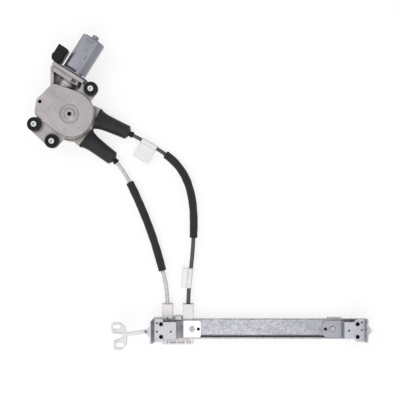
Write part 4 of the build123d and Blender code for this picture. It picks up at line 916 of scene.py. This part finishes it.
def ring_shell(name: str, rings: tuple[Triple, ...], sides: int) -> Piece:
    """Draw a closed shell ring by ring along Z.

    Args:
        name: name of the piece.
        rings: height, half width and half depth of each ring, in millimetres, in a closed loop.
        sides: points round each ring.

    Returns:
        The shell, at the origin.
    """
    shell = start_circle(name, sides, 1.0)
    bpy.ops.mesh.select_all(action="SELECT")
    height, wide, deep = rings[0]
    bpy.ops.transform.resize(value=(wide * MM, deep * MM, 1), center_override=(0, 0, 0))
    bpy.ops.transform.translate(value=(0, 0, height * MM))
    for last, ring in zip(rings, rings[1:]):
        bpy.ops.mesh.extrude_region_move(
            TRANSFORM_OT_translate={"value": (0, 0, (ring[0] - last[0]) * MM)})
        bpy.ops.transform.resize(value=(ring[1] / last[1], ring[2] / last[2], 1),
                                 center_override=(0, 0, 0))
    bpy.ops.mesh.select_all(action="DESELECT")
    bpy.ops.mesh.select_non_manifold()
    bpy.ops.mesh.bridge_edge_loops()
    close_shell()
    return shell


def round_shell(name: str, profile: tuple[Pair, ...], sides: int) -> Piece:
    """Closed round shell from the height and radius of each of its rings."""
    return ring_shell(name, tuple((height, radius, radius) for height, radius in profile), sides)


def settle(piece: Piece, place: Matrix, crease: float = 35.0) -> None:
    """Set a finished shell in place in its mesh and smooth all but its creases.

    Args:
        piece: the shell.
        place: where it goes.
        crease: least angle of an edge that stays sharp, in degrees.
    """
    bpy.ops.object.select_all(action="DESELECT")
    piece.select_set(True)
    bpy.context.view_layer.objects.active = piece
    piece.matrix_world = place
    bpy.ops.object.transform_apply(location=True, rotation=True, scale=True)
    bpy.ops.object.shade_smooth_by_angle(angle=math.radians(crease))


def fit(piece: Piece, look: Look, slot: Slot, *nodes: str, body: Body = Body.DRIVE) -> Piece:
    """Dress a piece, fasten it to a body and let it stand for its nodes.

    Args:
        piece: the finished piece.
        look: its finish.
        slot: material slot of the record that it comes from; not used.
        nodes: nodes that it replaces, or none.
        body: body that carries it.

    Returns:
        The piece.
    """
    PAINT.dress(piece, look)
    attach(piece, body.value)
    if nodes:
        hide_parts(*nodes)
    return piece


@dataclass(frozen=True)
class Boot:
    """Rubber boot over a cable outlet, with its lip, its rib and the ferrule in its nose.

    The rib lies between a height, an inner and an outer distance from the boot's middle.
    """

    name: str
    mouth: Pair
    angle: float
    start: Pair
    run: float
    sides: int = 72
    ferrule_sides: int = 40
    rings: tuple[Triple, ...] = (
        (0.3, 17.8, 10.5), (0.7, 18.1, 10.7), (2.4, 17.9, 10.7), (2.9, 17.1, 10.6),
        (5.0, 16.1, 10.7), (8.0, 15.1, 10.8), (12.0, 14.25, 10.9), (16.0, 13.6, 11.0),
        (22.0, 13.15, 11.05), (32.0, 12.6, 11.1), (44.0, 12.05, 11.1), (53.0, 11.75, 11.0),
        (55.4, 11.6, 10.9), (56.0, 11.1, 10.4), (59.2, 5.9, 5.9), (59.6, 5.4, 5.4),
        (59.6, 4.7, 4.7), (54.6, 4.7, 4.7), (53.6, 9.6, 8.9), (32.0, 10.6, 9.1),
        (16.0, 11.7, 9.0), (8.0, 13.2, 8.8), (3.0, 15.2, 8.65), (0.3, 16.0, 8.6))
    rib: Triple = (12.0, 9.0, 10.35)
    rib_end: float = 53.0
    rib_border: float = 0.7
    rib_rise: float = 0.9
    ferrule: tuple[Pair, ...] = (
        (-6.0, 4.0), (-5.5, 4.3), (4.4, 4.3), (4.7, 5.1), (5.1, 5.4), (7.0, 5.4), (7.4, 5.1),
        (7.5, 4.3), (8.3, 4.1), (8.3, 3.55), (-0.05, 3.55), (-0.05, 1.6), (-6.0, 1.6))

    def on_rib(self, face: bmesh.types.BMFace) -> bool:
        """Whether a face of the unplaced boot lies under the rib.

        Args:
            face: the face.

        Returns:
            True where the rib rises.
        """
        low, inner, outer = (value * MM for value in self.rib)
        middle = face.calc_center_median()
        return (low < middle.z < self.rib_end * MM and middle.x < 0
                and inner < middle.y < outer and face.normal.y > 0)

    def build(self) -> list[Piece]:
        """Make the boot and its ferrule.

        Returns:
            Both pieces.
        """
        boot = ring_shell(f"{self.name}_boot", self.rings, self.sides)
        bpy.ops.object.mode_set(mode="EDIT")
        pick_faces(boot, self.on_rib)
        bpy.ops.mesh.inset(thickness=self.rib_border * MM, depth=self.rib_rise * MM)
        bpy.ops.object.mode_set(mode="OBJECT")
        settle(boot, across(*self.mouth, self.angle))
        end = round_shell(f"{self.name}_ferrule", self.ferrule, self.ferrule_sides)
        settle(end, across(*self.start, self.run))
        return [fit(boot, Look.RUBBER, Slot.BLACK_RUBBER, f"boot_{self.name}"),
                fit(end, Look.PLUG, Slot.BLACK_PLASTIC, f"ferrule_{self.name}")]


@dataclass(frozen=True)
class MouthSkirt:
    """Thin black sheet between the two boots' mouths, under the case's edge, darkening the gap.

    It is a band round the drum's axis, from a first to a last angle in degrees.
    """

    boots: tuple[Boot, Boot]
    inner: float = 37.3
    outer: float = 46.0
    low: float = 21.8
    thick: float = 1.1
    first: float = -52.0
    last: float = -3.0
    behind_mouth: float = 0.2
    rounding: float = 0.3

    def build(self) -> list[Piece]:
        """Make the skirt, cut off just behind each boot's mouth.

        Returns:
            The skirt.
        """
        skirt = start_circle("mouth_skirt", 144, self.inner * MM)
        bpy.ops.mesh.select_all(action="DESELECT")
        mesh = bmesh.from_edit_mesh(skirt.data)
        for vertex in mesh.verts:
            angle = math.degrees(math.atan2(vertex.co.y, vertex.co.x))
            vertex.select_set(not self.first < angle < self.last)
        bmesh.update_edit_mesh(skirt.data)
        bpy.ops.mesh.delete(type="VERT")
        bpy.ops.mesh.select_all(action="SELECT")
        bpy.ops.mesh.extrude_region_move()
        grow = self.outer / self.inner
        bpy.ops.transform.resize(value=(grow, grow, 1), center_override=(0, 0, 0))
        for boot in self.boots:
            out = heading(boot.angle)
            cut = (Vector((*boot.mouth, 0)) - out * self.behind_mouth) * MM
            bpy.ops.mesh.select_all(action="SELECT")
            bpy.ops.mesh.bisect(plane_co=cut, plane_no=out, clear_outer=True)
        bpy.ops.mesh.select_all(action="SELECT")
        bpy.ops.transform.translate(value=(0, 0, self.low * MM))
        bpy.ops.mesh.extrude_region_move(
            TRANSFORM_OT_translate={"value": (0, 0, self.thick * MM)})
        close_shell()
        edge = skirt.modifiers.new("edge", "BEVEL")
        edge.width = self.rounding * MM
        edge.segments = 2
        edge.limit_method = "ANGLE"
        bpy.ops.object.modifier_apply(modifier=edge.name)
        settle(skirt, Matrix.Identity(4))
        return [fit(skirt, Look.SEAL, Slot.BLACK_RUBBER)]


@dataclass(frozen=True)
class RoundParts:
    """Like round parts: one is modelled and then copied, with its own mesh, to each place.

    The profile runs round the section as height and radius. Places are given by the name of
    the piece that stands there, and nodes by the name of the piece that replaces them.
    """

    places: dict[str, Pair]
    profile: tuple[Pair, ...]
    look: Look
    slot: Slot
    body: Body = Body.DRIVE
    sides: int = 56
    nodes: dict[str, str] = field(default_factory=dict)

    def build(self) -> list[Piece]:
        """Model the part at the origin and copy it to every place.

        Returns:
            The copies.
        """
        pattern = round_shell("pattern", self.profile, self.sides)
        settle(pattern, Matrix.Identity(4))
        made = []
        for name, (x, y) in self.places.items():
            piece = pattern.copy()
            piece.data = pattern.data.copy()
            piece.name = name
            piece.data.transform(Matrix.Translation((x * MM, y * MM, 0)))
            bpy.context.scene.collection.objects.link(piece)
            nodes = (self.nodes[name],) if name in self.nodes else ()
            made.append(fit(piece, self.look, self.slot, *nodes, body=self.body))
        bpy.data.objects.remove(pattern)
        return made


BOOTS = (
    Boot("upper", (39.526, -4.207), -24.1, (92.51, -27.91), -27.38),
    Boot("lower", (21.200, -35.990), -37.2, (67.44, -71.09), -48.0))
GROMMETS = RoundParts(
    places={f"{lug}_grommet": place for lug, place in LUGS.items()},
    nodes={f"{lug}_grommet": f"grommet_{lug}" for lug in LUGS},
    look=Look.GROMMET, slot=Slot.BLACK_RUBBER,
    profile=((36.0, 5.4), (36.0, 8.8), (36.5, 9.6), (37.4, 10.0), (42.3, 10.0), (42.9, 9.4),
             (43.02, 8.0), (47.98, 8.0), (48.02, 10.9), (48.6, 11.4), (50.5, 11.5),
             (54.2, 11.45), (55.6, 11.1), (56.6, 10.3), (57.0, 9.4), (56.95, 8.7), (56.5, 8.3),
             (55.5, 8.1), (55.15, 7.5), (55.4, 6.9), (56.4, 6.6), (56.85, 6.2), (56.8, 5.6),
             (56.3, 5.1), (55.4, 4.3), (36.5, 4.3)))
SLEEVES = RoundParts(
    places={f"{lug}_sleeve": place for lug, place in LUGS.items()},
    nodes={f"{lug}_sleeve": f"sleeve_{lug}" for lug in LUGS},
    look=Look.SLEEVE, slot=Slot.BRIGHT_STEEL,
    profile=((35.2, 3.2), (35.2, 4.1), (35.4, 4.2), (56.9, 4.2), (57.0, 4.45), (57.4, 4.55),
             (57.7, 4.35), (57.8, 4.0), (57.8, 3.4), (57.65, 2.7), (57.2, 2.3), (56.6, 2.5),
             (56.0, 3.2)))
# zinc nuts coloured black as painted shade in the bolt holes
CAPTIVE_NUTS = RoundParts(
    places={f"captive_nut_{count}": place for count, place in enumerate(BOLTS, 1)},
    look=Look.NUT, slot=Slot.ZINC_STEEL, body=Body.RAIL, sides=36,
    profile=((33.95, 2.7), (33.95, 6.1), (33.3, 6.3), (32.9, 6.1), (32.7, 5.4), (28.4, 5.4),
             (27.9, 4.9), (27.9, 1.2), (28.9, 0.6), (29.1, 2.5), (33.6, 2.5)))
# black cups in the inspection hole and the plate holes, standing in for the shade inside them
INSPECTION_HOLE_SHADE = RoundParts(
    places={"inspection_plug": INSPECTION_HOLE},
    look=Look.NUT, slot=Slot.BLACK_PLASTIC, sides=32,
    profile=((24.0, 2.3), (24.4, 2.7), (40.6, 2.7), (41.0, 2.4), (40.8, 1.9), (38.5, 1.5),
             (38.2, 0.25), (24.0, 0.25)))
PLATE_HOLE_SHADES = RoundParts(
    places={f"{side}_plate_plug": place for side, place in PLATE_HOLES.items()},
    look=Look.NUT, slot=Slot.BLACK_PLASTIC, body=Body.RAIL, sides=32,
    profile=((18.1, 2.3), (18.3, 2.6), (20.6, 2.6), (20.8, 2.4), (20.7, 1.9), (19.7, 1.6),
             (19.5, 0.25), (18.1, 0.25)))


# ---------------------------------------------------------------- cords
def drawn_piece(mesh: bmesh.types.BMesh, name: str) -> Piece:
    """Turn a drawn mesh into a smooth piece.

    Args:
        mesh: the drawn faces.
        name: name of the piece.

    Returns:
        The piece.
    """
    bmesh.ops.recalc_face_normals(mesh, faces=mesh.faces)
    data = bpy.data.meshes.new(name)
    mesh.to_mesh(data)
    mesh.free()
    data.shade_smooth()
    piece = bpy.data.objects.new(name, data)
    bpy.context.scene.collection.objects.link(piece)
    return piece


@dataclass
class CordRun:
    """A sheathed cable from its ferrule to the guide block, with its foam sleeve and tags.

    The foam runs from one share of the cord's length to another. Each tag has a name, its
    share of the length, its width along the cord and the reach of its flag.
    """

    name: str
    route: tuple[Pair, ...]
    length: float
    foam: Pair
    look: Look
    slot: Slot
    tags: tuple[tuple[str, float, float, float], ...] = ()
    radius: float = 0.0035
    pinched: float = 0.88
    relaxed: float = 0.96
    foam_radius: float = 0.0068
    foam_bore: float = 0.0037
    foam_rounding: float = 0.0012
    foam_dent: float = 0.0002
    foam_swell: float = 0.00022
    foam_ripples: Pair = (37.0, 11.0)
    tag_hoop: float = 0.0041
    tag_neck: float = 0.0016
    tag_gap: float = 0.0003
    tag_film: float = 0.00022
    tag_slit: float = 0.28
    tag_droop: float = 0.0009
    tag_wave: float = 0.00035
    tag_ripples: float = 2.2
    points: list[Vector] = field(default_factory=list)

    def lay(self) -> Piece:
        """Draw the conduit as one smooth spline through the route's control points.

        Returns:
            The conduit, a curve with a round section.
        """
        curve = bpy.data.curves.new(f"{self.name}_conduit", "CURVE")
        curve.dimensions = "3D"
        curve.resolution_u = 16
        spline = curve.splines.new("NURBS")
        spline.points.add(len(self.route) - 1)
        for index, (point, (x, y)) in enumerate(zip(spline.points, self.route)):
            point.co = (x * MM, y * MM, CABLE_Z, 1.0)
            point.radius = self.pinched if index < 3 else self.relaxed
        spline.order_u = 3
        spline.use_endpoint_u = True
        conduit = bpy.data.objects.new(f"{self.name}_conduit", curve)
        bpy.context.scene.collection.objects.link(conduit)
        bare = bpy.data.meshes.new_from_object(conduit)
        self.points = [vertex.co.copy() for vertex in bare.vertices]
        bpy.data.meshes.remove(bare)
        curve.bevel_depth = self.radius
        curve.bevel_resolution = 5
        curve.use_fill_caps = True
        return conduit

    def at(self, share: float) -> tuple[Vector, Vector]:
        """Place and direction on the cord's line at a share of its length.

        Args:
            share: from 0 at the ferrule to 1 in the guide block.

        Returns:
            The point and the unit vector along the line there.
        """
        steps = [(b - a).length for a, b in zip(self.points, self.points[1:])]
        left = share * sum(steps)
        for start, end, step in zip(self.points, self.points[1:], steps):
            if left <= step:
                return start.lerp(end, left / step), (end - start).normalized()
            left -= step
        return self.points[-1], (self.points[-1] - self.points[-2]).normalized()

    def sleeve(self) -> Piece:
        """Sweep the foam tube along the cord, with soft ends and a slightly uneven skin.

        Returns:
            The foam sleeve.
        """
        sides, rings, bore_rings = 28, 84, 40
        low, high = self.foam
        short, long = self.foam_ripples
        soft = self.foam_rounding / self.length
        rounded = self.foam_radius - self.foam_rounding
        stops = [(low, self.foam_bore), (low, rounded)]
        for step in range(rings + 1):
            share = step / rings
            swell = self.foam_swell * (math.sin(short * share + 2 * len(self.name))
                                       * math.sin(long * share))
            stops.append((low + soft + (high - low - 2 * soft) * share,
                          self.foam_radius - self.foam_dent + swell))
        stops += [(high, rounded)]
        stops += [(high + (low - high) * step / bore_rings, self.foam_bore)
                  for step in range(bore_rings)]
        mesh = bmesh.new()
        loops: list[list[bmesh.types.BMVert]] = []
        for share, radius in stops:
            middle, along = self.at(share)
            side_way = Vector((-along.y, along.x, 0))
            turns = [2 * math.pi * side / sides for side in range(sides)]
            loops.append([mesh.verts.new(middle + radius * (
                side_way * math.cos(turn) + UP * math.sin(turn))) for turn in turns])
        for first, second in zip(loops, loops[1:] + loops[:1]):
            for side in range(sides):
                after = (side + 1) % sides
                mesh.faces.new((first[side], first[after], second[after], second[side]))
        return drawn_piece(mesh, f"{self.name}_foam")

    def leaf(self, reach: float, face: float) -> list[Pair]:
        """Section of one leaf of a flag, from the hoop outwards.

        Args:
            reach: reach of the flag.
            face: 1 for the upper leaf and -1 for the lower.

        Returns:
            Distance from the cord's line and height of each point.
        """
        shares = [step / 10 for step in range(1, 11)]
        return [(self.tag_hoop + self.tag_neck + (reach - self.tag_neck) * share,
                 face * self.tag_gap / 2 - self.tag_droop * share ** 2) for share in shares]

    def tag(self, name: str, share: float, width: float, reach: float) -> Piece:
        """Fold a film tag round the cord, its two leaves stuck together beside it.

        Args:
            name: name of the piece.
            share: place on the cord.
            width: width along the cord.
            reach: reach of the flag from the cord's jacket.

        Returns:
            The tag's object.
        """
        columns, hoop_steps = 14, 22
        middle, along = self.at(share)
        side = Vector((along.y, -along.x, 0))
        outline = self.leaf(reach, 1)[::-1]
        for step in range(hoop_steps + 1):
            angle = self.tag_slit + (2 * math.pi - 2 * self.tag_slit) * step / hoop_steps
            outline.append((self.tag_hoop * math.cos(angle), self.tag_hoop * math.sin(angle)))
        outline += self.leaf(reach, -1)
        mesh = bmesh.new()
        rows = []
        for column in range(columns + 1):
            offset = (column / columns - 0.5) * width
            wave = self.tag_wave * math.sin(self.tag_ripples * math.pi * column / columns)
            rows.append([mesh.verts.new(middle + along * offset + side * out + UP * (
                rise + wave * max(0.0, out - self.tag_hoop) / reach)) for out, rise in outline])
        for first, second in zip(rows, rows[1:]):
            for index in range(len(outline) - 1):
                mesh.faces.new((first[index], first[index + 1], second[index + 1],
                                second[index]))
        tag = drawn_piece(mesh, name)
        wall = tag.modifiers.new("film", "SOLIDIFY")
        wall.thickness = self.tag_film
        wall.offset = 0.0
        return tag

    def build(self) -> list[Piece]:
        """Returns:
            The pieces, the conduit first.
        """
        conduit = fit(self.lay(), self.look, self.slot, f"conduit_{self.name}")
        pieces = [fit(self.sleeve(), Look.FOAM, Slot.BLACK_FOAM, f"foam_sleeve_{self.name}")]
        for name, *sizes in self.tags:
            pieces.append(fit(self.tag(f"{name}_tag", *sizes), Look.FILM, Slot.TAG_FILM,
                              f"tag_{name}"))
        return [conduit, *pieces]


CORDS = (
    CordRun(
        name="upper",
        route=((92.5, -27.9), (112.0, -38.0), (146.0, -57.5), (170.0, -76.0), (187.5, -101.0),
               (197.0, -131.0), (200.5, -163.0), (200.2, -198.0), (197.8, -236.0),
               (191.2, -290.0), (191.2, -324.0)),
        length=0.3465, foam=(0.203, 0.646), look=Look.DARK_JACKET, slot=Slot.DARK_CONDUIT,
        tags=(("upper", 0.112, 0.0285, 0.0255), ("lower", 0.840, 0.033, 0.0093))),
    CordRun(
        name="lower",
        route=((67.4, -71.1), (78.2, -83.1), (92.0, -105.1), (107.5, -137.6), (123.0, -174.5),
               (136.4, -212.2), (147.2, -250.7), (157.0, -289.5), (157.0, -324.0)),
        length=0.2723, foam=(0.172, 0.748), look=Look.WHITE_JACKET, slot=Slot.WHITE_CONDUIT))


# ---------------------------------------------------------------- studio
@dataclass
class Studio:
    """Pale floor, soft lamps and the camera straight above the part.

    The world is grey, from its level below to its level above by way of one at the horizon.
    """

    eye: Triple = (0.2107, -0.1390, 1.300)
    target: Triple = (0.20, -0.15, 0.0)
    lens: float = 69.82
    floor_z: float = -0.0004
    floor_size: float = 8.0
    floor_grey: float = 0.28
    floor_glow: float = 0.77
    world: Triple = (0.30, 0.50, 0.74)
    horizon: float = 0.45
    key: float = 8.5
    key_size: float = 1.3
    key_place: Triple = (0.12, -1.05, 1.5)
    fill: float = 3.5
    fill_size: float = 0.8
    fill_place: Triple = (-0.75, 0.55, 1.4)

    def camera(self) -> None:
        """Place the camera, looking straight down with +Y up the frame."""
        data = bpy.data.cameras.new("camera")
        data.lens = self.lens
        data.sensor_width = 36.0
        camera = bpy.data.objects.new("camera", data)
        camera.location = self.eye
        bpy.context.scene.collection.objects.link(camera)
        bpy.context.scene.camera = camera

    def floor(self) -> None:
        """Lay a pale floor that takes the shadow and shows white to camera and metal."""
        bpy.ops.object.select_all(action="DESELECT")
        x, y, _ = self.target
        bpy.ops.mesh.primitive_plane_add(size=self.floor_size, location=(x, y, self.floor_z))
        floor = bpy.context.object
        floor.name = "studio_floor"
        graph = Graph("studio_floor")
        graph.feed("Base Color", (self.floor_grey,) * 3 + (1.0,))
        graph.feed("Roughness", 0.9)
        graph.feed("Specular IOR Level", 0.1)
        path = graph.add("ShaderNodeLightPath")
        seen = path.outputs["Is Camera Ray"]
        for ray in ("Is Glossy Ray", "Is Transmission Ray"):
            either = graph.add("ShaderNodeMath", operation="MAXIMUM")
            graph.link(seen, either.inputs[0])
            graph.link(path.outputs[ray], either.inputs[1])
            seen = either.outputs[0]
        graph.feed("Emission Strength", graph.level(seen, 0.0, self.floor_glow))
        graph.feed("Emission Color", (1.0, 1.0, 1.0, 1.0))
        floor.data.materials.append(graph.material)

    def lamp(self, name: str, place: Triple, size: float, power: float) -> None:
        """Hang one square soft lamp that faces the part.

        Args:
            name: name of the lamp.
            place: where it hangs.
            size: length of its side.
            power: its power in watts.
        """
        data = bpy.data.lights.new(name, "AREA")
        data.shape = "SQUARE"
        data.size = size
        data.energy = power
        lamp = bpy.data.objects.new(name, data)
        lamp.location = place
        away = Vector(place) - Vector(self.target)
        lamp.rotation_euler = away.to_track_quat("Z", "Y").to_euler()
        bpy.context.scene.collection.objects.link(lamp)

    def sky(self) -> None:
        """Set the world's grey by height."""
        world = bpy.data.worlds.new("studio")
        world.use_nodes = True
        tree = world.node_tree
        split = tree.nodes.new("ShaderNodeSeparateXYZ")
        tree.links.new(tree.nodes.new("ShaderNodeTexCoord").outputs["Generated"],
                       split.inputs[0])
        ramp = tree.nodes.new("ShaderNodeValToRGB")
        low, middle, high = ((grey, grey, grey, 1.0) for grey in self.world)
        ramp.color_ramp.elements[0].color = low
        ramp.color_ramp.elements[1].color = high
        ramp.color_ramp.elements.new(self.horizon).color = middle
        tree.links.new(split.outputs["Z"], ramp.inputs["Fac"])
        tree.links.new(ramp.outputs["Color"], tree.nodes["Background"].inputs["Color"])
        bpy.context.scene.world = world

    def build(self) -> None:
        """Set the world, the floor and the lamps."""
        bpy.context.scene.view_settings.view_transform = "Standard"
        self.sky()
        self.floor()
        self.lamp("key", self.key_place, self.key_size, self.key)
        self.lamp("fill", self.fill_place, self.fill_size, self.fill)


def main() -> None:
    """Build the regulator's pieces in order and report each one."""
    logging.basicConfig(level=logging.INFO, format="%(message)s")
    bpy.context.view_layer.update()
    studio = Studio()
    studio.camera()
    for part in (*CORDS, *BOOTS, MouthSkirt(BOOTS), GROMMETS, SLEEVES, CAPTIVE_NUTS, INSPECTION_HOLE_SHADE,
                 PLATE_HOLE_SHADES):
        for piece in part.build():
            log.info("%s: %d faces", piece.name, len(piece.data.polygons)
                     if piece.type == "MESH" else 0)
    PAINT.dress_nodes()
    log.info("%d packed nodes dressed", len(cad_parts))
    studio.build()


if __name__ == "__main__":
    main()
